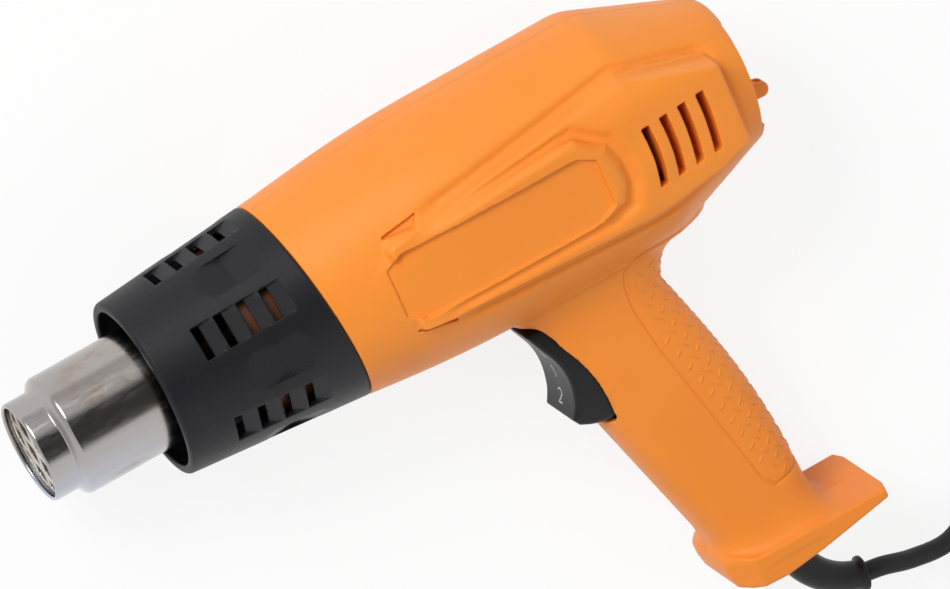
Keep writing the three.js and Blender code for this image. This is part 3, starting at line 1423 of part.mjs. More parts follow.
tool.rotation.x = restRoll(tool.getObjectByName("right_shell").geometry);
tool.updateMatrixWorld(true);
const box = new THREE.Box3().setFromObject(tool, true);
tool.position.set(-(box.min.x + box.max.x) / 2, -(box.min.y + box.max.y) / 2, -box.min.z);
tool.updateMatrixWorld(true);
const inBenchFrame = (point) => point.applyMatrix4(tool.matrixWorld);

// Spare lead, coiled flat on the bench: a spiral in, a half turn up to the next layer and a spiral out
const cordHeight = CORD_RADIUS + TIE_THICKNESS + FIT;
const coilTurns = COIL_WHOLE_TURNS + (COIL_START_ANGLE - COIL_END_ANGLE) / (2 * Math.PI);
const coilOuter = COIL_INNER + (COIL_PITCH * coilTurns) / 2;
const coilTop = cordHeight + COIL_LAYER_RISE;

class SpareCoil extends THREE.Curve {
  constructor() {
    super();
    this.arcLengthDivisions = 3000;
  }

  getPoint(t, target = new THREE.Vector3()) {
    const round = 2 * Math.PI * coilOuter;
    const turned = THREE.MathUtils.lerp(-2 * CORD_RADIUS / round, coilTurns + COIL_TAIL / round, t);
    const turns = THREE.MathUtils.clamp(turned, 0, coilTurns);
    const straight = (turned - turns) * round;
    const fromMiddle = turns - coilTurns / 2;
    const climb = THREE.MathUtils.smoothstep(fromMiddle, -0.25, 0.25);
    const radius = COIL_INNER + COIL_PITCH * Math.abs(fromMiddle);
    const angle = COIL_START_ANGLE - 2 * Math.PI * turns;
    const [sin, cos] = [Math.sin(angle), Math.cos(angle)];
    return target.set(
      COIL_CENTRE[0] + radius * cos + straight * sin,
      COIL_CENTRE[1] + radius * sin - straight * cos,
      cordHeight + COIL_LAYER_RISE * climb,
    );
  }
}

const coilCurve = new SpareCoil();

// Least gap between turns, measured on points along the coil
function leastGap(curve, count, apart) {
  const points = curve.getSpacedPoints(count);
  let least = Infinity;
  for (let i = 0; i < count; i += 1) {
    for (let j = i + apart; j <= count; j += 1) {
      least = Math.min(least, points[i].distanceTo(points[j]));
    }
  }
  return least - 2 * CORD_RADIUS;
}

const coilSteps = Math.round(coilTurns * COIL_STEPS);
console.log("least gap in the coil", leastGap(coilCurve, coilSteps * 4, COIL_STEPS * 2).toFixed(2));

function leadCurve() {
  const coilStart = coilCurve.getPoint(0);
  const back = coilCurve.getTangent(0).multiplyScalar(-1);
  const end = coilStart.clone().addScaledVector(back, FIT);
  const nearEnd = coilStart.clone().addScaledVector(back, 2 * CORD_RADIUS);
  const start = inBenchFrame(leadExit(FIT));
  const nearStart = inBenchFrame(leadExit(2 * CORD_RADIUS));
  const route = [start, nearStart, ...LEAD_ROUTE.map((p) => new THREE.Vector3(...p)), nearEnd, end];
  return new THREE.CatmullRomCurve3(route, false, "centripetal");
}

// Band round the coil's turns
function cordTie() {
  const half = CORD_RADIUS + TIE_SLACK;
  const [near, far] = [COIL_INNER - half, coilOuter + half];
  const [low, high] = [TIE_THICKNESS, coilTop + half];
  const wall = TIE_THICKNESS;
  const outer = block(near - wall, far + wall, -TIE_WIDTH / 2, TIE_WIDTH / 2, low - wall, high + wall);
  const inner = block(near, far, -TIE_WIDTH, TIE_WIDTH, low, high);
  return outer.subtract(inner);
}

// Plug on the end of the lead: a neck that swells into a flat-sided body
const coilEnd = coilCurve.getPoint(1);
const plugAxis = coilCurve.getTangent(1);

function plugBody() {
  const stations = [
    [0, PLUG_NECK_RADIUS * 0.85, PLUG_NECK_RADIUS * 0.85],
    [PLUG_NECK_LENGTH * 0.7, PLUG_NECK_RADIUS, PLUG_NECK_RADIUS],
    [PLUG_NECK_LENGTH, PLUG_NECK_RADIUS * 1.5, PLUG_NECK_RADIUS * 1.3],
    [PLUG_NECK_LENGTH + PLUG_LENGTH * 0.25, PLUG_HALF_WIDTH * 0.9, coilTop * 0.95],
    [PLUG_NECK_LENGTH + PLUG_LENGTH * 0.5, PLUG_HALF_WIDTH, coilTop],
    [PLUG_NECK_LENGTH + PLUG_LENGTH - 1.5, PLUG_HALF_WIDTH, coilTop],
    [PLUG_NECK_LENGTH + PLUG_LENGTH, PLUG_HALF_WIDTH - 1.5, coilTop - 1.5],
  ];
  const rounded = (v) => Math.sign(v) * Math.abs(v) ** (2 / GRIP_ROUNDNESS);
  const count = 24;
  const rings = stations.map(([x, halfWidth, halfHeight]) =>
    Array.from({ length: count }, (_, i) => {
      const turn = (2 * Math.PI * i) / count;
      return new THREE.Vector3(x, halfWidth * rounded(Math.cos(turn)), halfHeight * rounded(Math.sin(turn)));
    }),
  );
  return loft(rings);
}

function plugPin(side) {
  const start = PLUG_NECK_LENGTH + PLUG_LENGTH + FIT;
  const geometry = new THREE.CylinderGeometry(PIN_RADIUS, PIN_RADIUS, PIN_LENGTH, SMALL_SEGMENTS);
  const centre = start + PIN_LENGTH / 2;
  return solid(geometry.rotateZ(Math.PI / 2).translate(centre, (side * PIN_SPACING) / 2, 0));
}

const lead = new THREE.Group();
lead.add(
  piece("cord_lead", tube(leadCurve(), CORD_RADIUS, 12, 10), black),
  piece("cord_coil", tube(coilCurve, CORD_RADIUS, coilSteps, COIL_SIDES), black),
);
const tie = piece("cord_tie", cordTie(), black);
tie.rotation.z = TIE_ANGLE;
tie.position.set(...COIL_CENTRE, 0);
const plug = new THREE.Group();
plug.add(
  piece("plug_body", plugBody(), black),
  piece("plug_pin_1", plugPin(1), brass),
  piece("plug_pin_2", plugPin(-1), brass),
);
plug.position.copy(coilEnd).addScaledVector(plugAxis, FIT);
plug.rotation.z = Math.atan2(plugAxis.y, plugAxis.x);
lead.add(tie, plug);

const root = new THREE.Group();
root.add(tool, lead);

export default root;
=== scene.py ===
import bpy
import json
import math
from functools import reduce
import numpy as np
from mathutils import Matrix, Vector


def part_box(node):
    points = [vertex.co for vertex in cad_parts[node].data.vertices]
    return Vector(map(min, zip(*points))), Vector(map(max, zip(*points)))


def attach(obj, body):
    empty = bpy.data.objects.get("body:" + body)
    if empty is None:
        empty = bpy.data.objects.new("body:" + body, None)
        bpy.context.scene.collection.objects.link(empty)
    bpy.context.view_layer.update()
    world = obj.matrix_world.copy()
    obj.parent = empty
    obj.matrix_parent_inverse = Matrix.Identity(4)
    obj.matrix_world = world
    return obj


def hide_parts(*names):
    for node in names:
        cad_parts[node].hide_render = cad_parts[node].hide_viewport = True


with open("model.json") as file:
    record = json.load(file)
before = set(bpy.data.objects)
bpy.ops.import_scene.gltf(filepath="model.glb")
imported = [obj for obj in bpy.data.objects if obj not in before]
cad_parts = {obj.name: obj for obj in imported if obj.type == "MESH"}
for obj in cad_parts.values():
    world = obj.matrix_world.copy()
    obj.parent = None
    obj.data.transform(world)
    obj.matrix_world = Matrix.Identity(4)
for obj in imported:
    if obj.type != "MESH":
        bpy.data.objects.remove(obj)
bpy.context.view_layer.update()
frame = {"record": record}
scene = bpy.context.scene

# Tool frame, in millimetres: X back along the barrel from the outlet's tip, Y up from its axis, Z left
hinge = next(j for j in frame["record"]["behaviour"]["joints"] if j["name"] == "rocker_hinge")
ROLL = math.atan2(-hinge["axis"][1], hinge["axis"][2])
tube_lo, tube_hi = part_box("nozzle_tube")
ORIGIN = Vector((tube_lo.x, (tube_lo.y + tube_hi.y) / 2, (tube_lo.z + tube_hi.z) / 2))
TURN = Matrix.Rotation(ROLL, 3, "X")


def to_world(points):
    turned = np.asarray(points, float) @ np.array(TURN).T
    return turned / 1000 + np.array(ORIGIN)


def direction(v):
    return TURN @ Vector(v)


# Camera at the photograph's viewing angle
PHOTO = (950, 589)
CAMERA_YAW, CAMERA_PITCH, CAMERA_ROLL = (math.radians(a) for a in (14, 23.5, 29.4))
CAMERA_DISTANCE = 5000
PIXELS_PER_MM = 3.11
LOOK_AT = np.array((150.0, -50.0, 0.0))
LOOK_PIXEL = (486.9, 359.1)
SENSOR_WIDTH, VIEW_LIMIT = 36, 50


def make_camera():
    back = Vector(
        (
            -math.sin(CAMERA_YAW) * math.cos(CAMERA_PITCH),
            math.sin(CAMERA_PITCH),
            math.cos(CAMERA_YAW) * math.cos(CAMERA_PITCH),
        )
    )
    along = Vector((1, 0, 0)) - back * back.x
    along.normalize()
    across = back.cross(along)
    right = math.cos(CAMERA_ROLL) * along - math.sin(CAMERA_ROLL) * across
    up = math.sin(CAMERA_ROLL) * along + math.cos(CAMERA_ROLL) * across
    move_x = (PHOTO[0] / 2 - LOOK_PIXEL[0]) / PIXELS_PER_MM
    move_y = (LOOK_PIXEL[1] - PHOTO[1] / 2) / PIXELS_PER_MM
    place = Vector(LOOK_AT) + back * CAMERA_DISTANCE + right * move_x + up * move_y
    data = bpy.data.cameras.new("camera")
    data.sensor_fit = "HORIZONTAL"
    data.sensor_width = SENSOR_WIDTH
    data.lens = SENSOR_WIDTH * PIXELS_PER_MM * CAMERA_DISTANCE / PHOTO[0]
    data.clip_end = VIEW_LIMIT
    camera = bpy.data.objects.new("camera", data)
    scene.collection.objects.link(camera)
    axes = Matrix([direction(right), direction(up), direction(back)]).transposed()
    camera.matrix_world = Matrix.Translation(Vector(to_world([place])[0])) @ axes.to_4x4()
    scene.camera = camera


make_camera()


# Nodes of a material or of the world
class Nodes:
    def __init__(self, owner, shader="Principled BSDF", place="Object"):
        owner.use_nodes = True
        self.owner = owner
        self.tree = owner.node_tree
        self.shader = self.tree.nodes[shader]
        self.place = self.add("ShaderNodeTexCoord").outputs[place]

    def add(self, kind, inputs=None, **settings):
        node = self.tree.nodes.new(kind)
        for key, value in settings.items():
            setattr(node, key, value)
        for key, value in (inputs or {}).items():
            self.put(node.inputs[key], value)
        return node

    def put(self, target, value):
        if hasattr(value, "is_output"):
            self.tree.links.new(value, target)
        elif target.type == "RGBA":
            target.default_value = (*value, 1.0)
        else:
            target.default_value = value

    def set(self, **values):
        for key, value in values.items():
            self.put(self.shader.inputs[key.replace("_", " ")], value)

    def stretched(self, scale):
        inputs = {"Vector": self.place, "Rotation": (-ROLL, 0, 0), "Scale": scale}
        return self.add("ShaderNodeMapping", inputs).outputs["Vector"]

    def axes(self, place):
        return self.add("ShaderNodeSeparateXYZ", {0: place}).outputs

    def noise(self, scale, detail, roughness=0.55, stretch=None):
        place = self.stretched(stretch) if stretch else self.place
        inputs = {"Vector": place, "Scale": scale, "Detail": detail, "Roughness": roughness}
        return self.add("ShaderNodeTexNoise", inputs).outputs["Fac"]

    def cells(self, scale):
        return self.add("ShaderNodeTexVoronoi", {"Vector": self.place, "Scale": scale}).outputs["Distance"]

    def span(self, value, low, high, to_low=0.0, to_high=1.0, shape="SMOOTHSTEP"):
        inputs = {"Value": value, "From Min": low, "From Max": high, "To Min": to_low, "To Max": to_high}
        return self.add("ShaderNodeMapRange", inputs, interpolation_type=shape).outputs["Result"]

    def mix(self, factor, a, b):
        return self.add("ShaderNodeMix", {0: factor, 6: a, 7: b}, data_type="RGBA").outputs[2]

    def math(self, operation, a, b):
        return self.add("ShaderNodeMath", {0: a, 1: b}, operation=operation).outputs[0]

    def sum(self, a, b):
        return self.math("ADD", a, b)

    def times(self, a, b):
        return self.math("MULTIPLY", a, b)

    def bump(self, height, strength, distance):
        inputs = {"Strength": strength, "Distance": distance, "Height": height}
        self.set(Normal=self.add("ShaderNodeBump", inputs).outputs["Normal"])


def new_material(name):
    return Nodes(bpy.data.materials.new(name))


# Range that most of a noise lies in, and how deep a bump goes in metres
MIDST = (0.3, 0.7)
PLASTIC_BUMP, METAL_BUMP = 0.0004, 0.0003
PLASTIC_GRAIN = 2600
# Where the painted shade on the spigot inside the guard ends, in metres from the outlet's tip, and how far
# it fades
SPIGOT_DARK_END, SPIGOT_DARK_FADE = 0.0968, 0.002


def moulded(name, colour, deep, rough, bump=0.10, specular=0.45, painted_shade=None):
    """Moulded plastic: fine spark-eroded grain, faint flow clouds in colour and gloss, and, when a colour
    for it is given, painted shade on the spigot inside the guard.
    """
    n = new_material(name)
    cloud = n.noise(14, 4)
    tone = n.mix(n.span(cloud, *MIDST), colour, deep)
    # Painted shade: the spigot deep inside the guard is darkened in front of that end
    if painted_shade:
        end = ORIGIN.x + SPIGOT_DARK_END
        tone = n.mix(n.span(n.axes(n.place)["X"], end - SPIGOT_DARK_FADE, end), painted_shade, tone)
    gloss = n.sum(n.times(cloud, 0.6), n.times(n.noise(900, 2), 0.4))
    n.set(Base_Color=tone, Roughness=n.span(gloss, *MIDST, *rough), Specular_IOR_Level=specular)
    coarse = n.times(n.noise(PLASTIC_GRAIN / 6, 2), 0.5)
    n.bump(n.sum(n.noise(PLASTIC_GRAIN, 2), coarse), bump, PLASTIC_BUMP)
    return n.owner


def rubber(name, colour, rough, grain):
    """Rubber with a dusting of paler specks."""
    n = new_material(name)
    cloud = n.noise(40, 4)
    dust = n.span(n.noise(700, 3), 0.45, 0.8, 0.0, 0.5)
    pale = tuple(c * 1.7 + 0.004 for c in colour)
    n.set(Base_Color=n.mix(dust, colour, pale), Specular_IOR_Level=0.32)
    n.set(Roughness=n.span(cloud, *MIDST, *rough))
    n.bump(n.sum(n.noise(grain, 3), n.times(cloud, 0.4)), 0.16, PLASTIC_BUMP)
    return n.owner


def metal(name, colour, stain, amount, rough, stretch):
    """Metal with fine drawn lines, a cloud of stain and small pits."""
    n = new_material(name)
    cloud = n.noise(38, 5, 0.65)
    drawn = n.noise(220, 4, 0.6, stretch)
    spots = n.times(n.span(cloud, 0.42, 0.72), amount)
    gloss = n.sum(n.times(drawn, 0.6), n.times(cloud, 0.4))
    n.set(Metallic=1.0, Base_Color=n.mix(spots, colour, stain), Roughness=n.span(gloss, *MIDST, *rough))
    n.bump(n.sum(n.times(drawn, 0.7), n.span(n.cells(620), 0.05, 0.25)), 0.05, METAL_BUMP)
    return n.owner


# Painted reflection on the outlet tube: paler and bluer on its lower side, darker on its upper side
STEEL_LOW_PAINTED_REFLECTION, STEEL_HIGH_PAINTED_REFLECTION = (0.52, 0.55, 0.64), (0.42, 0.39, 0.38)
# Straw, brown and pit are stains on the tube; the last colour is painted shade for the tube under the guard
STRAW, BROWN, PIT, UNDER_GUARD_PAINTED_SHADE = (0.44, 0.40, 0.36), (0.27, 0.15, 0.09), (0.24, 0.19, 0.15), (0.11, 0.075, 0.06)


def heat_tint_and_painted_light(name):
    """Polished tube that has been hot: straw and brown clouds near the guard, drawn lines, fine pits;
    painted reflection makes its lower side paler and bluer and its upper side darker, and painted shade
    darkens it under the guard.
    """
    n = new_material(name)
    along = n.axes(n.stretched((1, 1, 1)))
    cloud = n.noise(60, 6, 0.7, (0.6, 1.0, 1.0))
    drawn = n.noise(150, 4, 0.6, (1.0, 7.0, 7.0))
    speck = n.noise(1500, 3, 0.7)
    heat = n.span(n.sum(along["X"], n.times(cloud, 0.012)), ORIGIN.x + 0.012, ORIGIN.x + 0.05)
    # Painted reflection: the tube's colour turns from the paler, bluer lower side to the darker upper side
    steel = n.mix(n.span(along["Y"], ORIGIN.y - 0.014, ORIGIN.y + 0.008), STEEL_LOW_PAINTED_REFLECTION, STEEL_HIGH_PAINTED_REFLECTION)
    tone = n.mix(n.times(heat, 0.5), steel, STRAW)
    tone = n.mix(n.times(n.span(cloud, 0.5, 0.68), n.times(heat, 0.7)), tone, BROWN)
    tone = n.mix(n.span(speck, 0.62, 0.8, 0, 0.6), tone, PIT)
    # Painted shade: the tube darkens where it runs under the guard
    tone = n.mix(n.span(along["X"], ORIGIN.x + 0.043, ORIGIN.x + 0.058), tone, UNDER_GUARD_PAINTED_SHADE)
    n.set(Metallic=1.0, Base_Color=tone, Roughness=n.span(drawn, *MIDST, 0.13, 0.24))
    n.bump(n.sum(n.times(drawn, 0.8), n.times(speck, 0.3)), 0.045, METAL_BUMP)
    return n.owner


def mineral(name, colour, fleck, scale, rough, bump):
    """Mica, unglazed ceramic or a printed board: flat flakes or grains of a second tone."""
    n = new_material(name)
    flakes = n.cells(scale)
    cloud = n.noise(60, 4)
    grains = n.times(n.span(flakes, 0.15, 0.6), n.span(cloud, *MIDST, 0.4, 1.0))
    n.set(Base_Color=n.mix(grains, colour, fleck), Roughness=n.span(cloud, *MIDST, *rough))
    n.bump(n.sum(flakes, n.noise(1800, 2)), bump, METAL_BUMP)
    return n.owner


# Painted shade for the spigot inside the guard
SPIGOT_PAINTED_SHADE = (0.10, 0.028, 0.008)
ORANGE = moulded(
    "orange_plastic", (0.93, 0.285, 0.028), (0.885, 0.258, 0.023), (0.40, 0.52), painted_shade=SPIGOT_PAINTED_SHADE
)
BLACK = moulded("black_plastic", (0.0098, 0.0098, 0.0128), (0.0075, 0.0075, 0.0098), (0.40, 0.54), 0.12, 0.3)
ROCKER_BLACK = moulded(
    "rocker_black", (0.0105, 0.0105, 0.012), (0.008, 0.008, 0.0092), (0.36, 0.48), 0.08, 0.3
)
INNER = moulded("inner_plastic", (0.045, 0.045, 0.05), (0.03, 0.03, 0.034), (0.4, 0.55))
TIE = moulded("tie_plastic", (0.02, 0.02, 0.022), (0.014, 0.014, 0.016), (0.35, 0.5))
CAPACITOR = moulded("capacitor_yellow", (0.66, 0.45, 0.05), (0.58, 0.38, 0.04), (0.22, 0.34), 0.05)
WIRE_BROWN = moulded("wire_brown", (0.19, 0.075, 0.03), (0.15, 0.055, 0.02), (0.34, 0.48), 0.06)
WIRE_BLUE = moulded("wire_blue", (0.035, 0.10, 0.34), (0.025, 0.08, 0.28), (0.34, 0.48), 0.06)
FIGURE_WHITE = moulded("figure_print", (0.62, 0.62, 0.62), (0.54, 0.54, 0.54), (0.45, 0.6), 0.05)
CORD = rubber("cord_rubber", (0.0115, 0.0115, 0.0125), (0.42, 0.58), 1500)
BOOT = rubber("boot_rubber", (0.0105, 0.0105, 0.0118), (0.36, 0.5), 1900)
OUTLET_STEEL = heat_tint_and_painted_light("outlet_steel")
GRILLE_STEEL = metal("grille_steel", (0.66, 0.62, 0.56), (0.40, 0.31, 0.24), 0.7, (0.3, 0.45), (1, 3, 3))
ZINC = metal("zinc_steel", (0.62, 0.63, 0.66), (0.50, 0.48, 0.42), 0.6, (0.28, 0.45), (2, 2, 1))
BRASS = metal("pin_brass", (0.80, 0.66, 0.36), (0.56, 0.42, 0.20), 0.5, (0.16, 0.3), (1, 6, 6))
HEATER_WIRE = metal("heater_wire", (0.36, 0.32, 0.30), (0.17, 0.13, 0.12), 0.9, (0.4, 0.6), (1, 2, 2))
MICA = mineral("mica_board", (0.66, 0.55, 0.36), (0.80, 0.72, 0.55), 340, (0.3, 0.5), 0.12)
CERAMIC = mineral("ceramic_white", (0.84, 0.81, 0.75), (0.73, 0.69, 0.62), 900, (0.6, 0.8), 0.15)
BOARD = mineral("board_green", (0.045, 0.20, 0.075), (0.07, 0.29, 0.12), 700, (0.3, 0.45), 0.08)


# Signed distances on numpy arrays, in millimetres, negative inside
def both(*fields):
    return reduce(np.maximum, fields)


def either(*fields):
    return reduce(np.minimum, fields)


def between(v, low, high):
    return np.maximum(low - v, v - high)


def share(v, start, end):
    """How far a value has come from start to end, from 0 to 1."""
    return np.clip((v - start) / (end - start), 0, 1)


def blend(a, b, t):
    return a + (b - a) * t


def smin(a, b, k):
    """Union with a fillet of about k."""
    h = np.clip(0.5 + 0.5 * (b - a) / k, 0, 1)
    return b + (a - b) * h - k * h * (1 - h)


def smax(a, b, k):
    """Common part with an edge eased by about k."""
    return -smin(-a, -b, k)


def rounded_box(dx, dy, corner):
    """Rounded rectangle, from the distances past its sides."""
    dx, dy = dx + corner, dy + corner
    return np.hypot(np.maximum(dx, 0), np.maximum(dy, 0)) + np.minimum(np.maximum(dx, dy), 0) - corner


def outline_distance(x, y, corners):
    """Distance to a closed outline of straight sides, negative inside."""
    best = np.full(x.shape, np.inf)
    inside = np.zeros(x.shape, bool)
    for (ax, ay), (bx, by) in zip(corners, corners[1:] + corners[:1]):
        ex, ey = bx - ax, by - ay
        wx, wy = x - ax, y - ay
        t = np.clip((wx * ex + wy * ey) / (ex * ex + ey * ey), 0, 1)
        best = np.minimum(best, (wx - t * ex) ** 2 + (wy - t * ey) ** 2)
        if ey != 0:
            inside ^= ((ay > y) != (by > y)) & (x < ex * (y - ay) / ey + ax)
    return np.where(inside, -1, 1) * np.sqrt(best)


# The mesher first looks at blocks of cells, then at the cells of blocks that the surface may cross
BLOCK, BLOCK_REACH = 4, 1.15
PASSES, SLOPE_REACH, NORMAL_REACH, LEAST_SLOPE, MOST_MOVE = 2, 0.3, 0.4, 0.05, 0.5
CORNERS = np.array([[i, j, k] for i in (0, 1) for j in (0, 1) for k in (0, 1)])


def spread(blocks):
    return blocks.repeat(BLOCK, 0).repeat(BLOCK, 1).repeat(BLOCK, 2)


def surface(field, low, high, step):
    """Vertices, quads and normals of the zero level of a field, by surface nets on the cells near it."""
    low, high = np.asarray(low, float), np.asarray(high, float)
    wide = BLOCK * step
    blocks = np.ceil((high - low) / wide).astype(int)
    size = blocks * BLOCK + 1
    middle = [low[i] + wide * (np.arange(blocks[i]) + 0.5) for i in range(3)]
    grid = np.stack(np.meshgrid(*middle, indexing="ij"), -1).reshape(-1, 3)
    coarse = evaluate(field, grid).reshape(blocks)
    fine = spread(np.abs(coarse) < wide * BLOCK_REACH)
    a, b, c = fine.shape
    corner = np.zeros(size, bool)
    for i, j, k in CORNERS:
        corner[i : i + a, j : j + b, k : k + c] |= fine
    value = np.ones(size, np.float32)
    value[:a, :b, :c] = spread(np.where(coarse < 0, -1, 1))
    value[corner] = evaluate(field, low + step * np.argwhere(corner))
    below = value < 0
    count = np.zeros((a, b, c), np.uint8)
    for i, j, k in CORNERS:
        count += below[i : i + a, j : j + b, k : k + c]
    active = (count > 0) & (count < 8)
    cell = np.argwhere(active)
    index = np.full((a, b, c), -1, np.int64)
    index[active] = np.arange(len(cell))
    corners = np.stack([value[tuple((cell + o).T)] for o in CORNERS], 1).astype(float)
    total = np.zeros((len(cell), 3))
    number = np.zeros(len(cell))
    for p, q in ((p, q) for p in range(8) for q in range(p + 1, 8)):
        if np.abs(CORNERS[p] - CORNERS[q]).sum() != 1:
            continue
        fp, fq = corners[:, p], corners[:, q]
        hit = (fp < 0) != (fq < 0)
        t = np.where(hit, fp / np.where(hit, fp - fq, 1), 0)
        total += np.where(hit[:, None], CORNERS[p] + t[:, None] * (CORNERS[q] - CORNERS[p]), 0)
        number += hit
    points = low + step * (cell + total / number[:, None])
    for _ in range(PASSES):
        slope = gradient(field, points, step * SLOPE_REACH)
        length = np.maximum((slope**2).sum(1), LEAST_SLOPE)
        move = -evaluate(field, points)[:, None] * slope / length[:, None]
        points += np.clip(move, -MOST_MOVE * step, MOST_MOVE * step)
    normals = gradient(field, points, step * NORMAL_REACH)
    normals /= np.maximum(np.linalg.norm(normals, axis=1, keepdims=True), 1e-9)
    quads = []
    for axis in range(3):
        u, v = (axis + 1) % 3, (axis + 2) % 3
        take = [slice(None)] * 3
        take[axis] = slice(0, -1)
        ahead = [slice(None)] * 3
        ahead[axis] = slice(1, None)
        change = below[tuple(take)] != below[tuple(ahead)]
        at = np.argwhere(change)
        keep = (at[:, u] > 0) & (at[:, v] > 0) & (at[:, u] < size[u] - 1) & (at[:, v] < size[v] - 1)
        at = at[keep]
        du, dv = np.eye(3, dtype=int)[u], np.eye(3, dtype=int)[v]
        ring = [index[tuple((at - s).T)] for s in (du + dv, dv, du * 0, du)]
        quad = np.stack(ring, 1)
        inward = below[tuple(at.T)]
        quad[~inward] = quad[~inward][:, ::-1]
        quads.append(quad)
    return points, np.concatenate(quads), normals


def evaluate(field, points, chunk=300000):
    return np.concatenate([field(*points[i : i + chunk].T) for i in range(0, len(points), chunk)])


def gradient(field, points, h):
    out = np.empty_like(points)
    for axis in range(3):
        d = np.zeros(3)
        d[axis] = h
        out[:, axis] = (evaluate(field, points + d) - evaluate(field, points - d)) / (2 * h)
    return out


def add_mesh(name, points, faces, material, body, slot, replaced=(), normals=None, world=False, smooth=True):
    mesh = bpy.data.meshes.new(name)
    place = np.asarray(points) if world else to_world(points)
    mesh.from_pydata(place.tolist(), [], [list(map(int, f)) for f in faces])
    mesh.update()
    if smooth:
        mesh.polygons.foreach_set("use_smooth", np.ones(len(mesh.polygons), bool))
    if normals is not None:
        turned = normals @ np.array(TURN).T
        mesh.normals_split_custom_set_from_vertices(turned.tolist())
    mesh.materials.append(material)
    obj = bpy.data.objects.new(name, mesh)
    scene.collection.objects.link(obj)
    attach(obj, body)
    if replaced:
        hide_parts(*replaced)
    return obj


def from_field(name, field, low, high, step, material, body, slot, replaced):
    points, quads, normals = surface(field, low, high, step)
    return add_mesh(name, points, quads, material, body, slot, replaced, normals)


STEP = 0.6

# Sizes shared with the solids
FIT = 0.3
GUARD_START, GUARD_END = 42.3, 102.0
SHOULDER = GUARD_END + FIT
GUARD_FRONT_RADIUS, GUARD_REAR_RADIUS, GUARD_WALL = 31.0, 36.4, 2.2
JOINT_LEAN = math.radians(7)
BARREL_RADIUS, WALL = 40.9, 2.6
SWELL = 60
TAPER_START, TAPER_END, TAPER_RADIUS = SHOULDER + 118.2, SHOULDER + 159.2, 24.0
KEEL_DROP = 2.4
STAND_ANGLE = math.radians(4)
STAND_X = TAPER_END - 0.5
GRIP_TOP, GRIP_BOTTOM, ROOT_Y = -53.0, -150.0, -36.0
FOOT_FRONT, FOOT_TOP, FOOT_CROWN, FOOT_CROWN_X, FOOT_REAR_BOTTOM = 191.5, -150.0, -160.3, 208.0, -153.4
FOOT_HALF, FOOT_PLATE = 21.5, 6.0
PIVOT = (180.0, -64.0)
ROCKER_HALF, ROCKER_BOW, ROCKER_PIN, ROCKER_PIN_REACH = 11.0, 2.4, 2.0, 14.0
BOOT_X, BOOT_BEND, BOOT_TURN = 217.0, 24.5, math.radians(80)
CORD_RADIUS = 3.25
FLANGE_START, FLANGE_END, FLANGE_RADIUS = 104.8, 106.0, 31.8
SCREWS = [(121, 30.5), (121, -30.5), (195, 33), (234, -27), (203, -98), (202, -146)]


def stand_x(y):
    return STAND_X + y * math.tan(STAND_ANGLE)


FOOT_UNDER = FOOT_REAR_BOTTOM + (FOOT_CROWN - FOOT_REAR_BOTTOM) * min(
    1, (stand_x(FOOT_REAR_BOTTOM) - BOOT_X) / (stand_x(FOOT_REAR_BOTTOM) - FOOT_CROWN_X)
)
FOOT_FLOOR = FOOT_UNDER + FOOT_PLATE


def boot_axis(tilt, past):
    """Point on the boot's bent axis, or straight on past a point of the bend."""
    x = BOOT_X + BOOT_BEND * (1 - math.cos(tilt)) + past * math.sin(tilt)
    y = FOOT_UNDER - BOOT_BEND * math.sin(tilt) - past * math.cos(tilt)
    return x, y


# Lead and its spare length, coiled on the bench, in millimetres along the axes of the scene
COIL_CENTRE = (191.0, -144.0)
COIL_INNER, COIL_PITCH, COIL_RISE = 25.5, 7.0, 7.0
COIL_START, COIL_END, COIL_WHOLE, COIL_TAIL = math.radians(118), math.radians(-90), 7, 26.0
COIL_CLIMB = 0.5
TIE_ANGLE, TIE_THICKNESS, TIE_WIDTH, TIE_SLACK = math.radians(20), 0.8, 8.0, 0.6
CORD_HEIGHT = CORD_RADIUS + TIE_THICKNESS + FIT
COIL_TURNS = COIL_WHOLE + (COIL_START - COIL_END) / (2 * math.pi)
COIL_OUTER = COIL_INNER + COIL_PITCH * COIL_TURNS / 2
COIL_ROUND = 2 * math.pi * COIL_OUTER
COIL_LAST = COIL_TURNS + COIL_TAIL / COIL_ROUND
LEAD_ROUTE = [(119, -113.6, 13), (134, -116, 9), (148, -110.6, 5.6)]
LEAD_STEPS, COIL_STEPS, LEAD_SIDES = 5, 48, 8


def coil_point(turned):
    turns = min(max(turned, 0), COIL_TURNS)
    straight = (turned - turns) * COIL_ROUND
    from_middle = turns - COIL_TURNS / 2
    t = min(max(from_middle / COIL_CLIMB + 0.5, 0), 1)
    radius = COIL_INNER + COIL_PITCH * abs(from_middle)
    angle = COIL_START - 2 * math.pi * turns
    return (
        COIL_CENTRE[0] + radius * math.cos(angle) + straight * math.sin(angle),
        COIL_CENTRE[1] + radius * math.sin(angle) - straight * math.cos(angle),
        CORD_HEIGHT + COIL_RISE * t * t * (3 - 2 * t),
    )


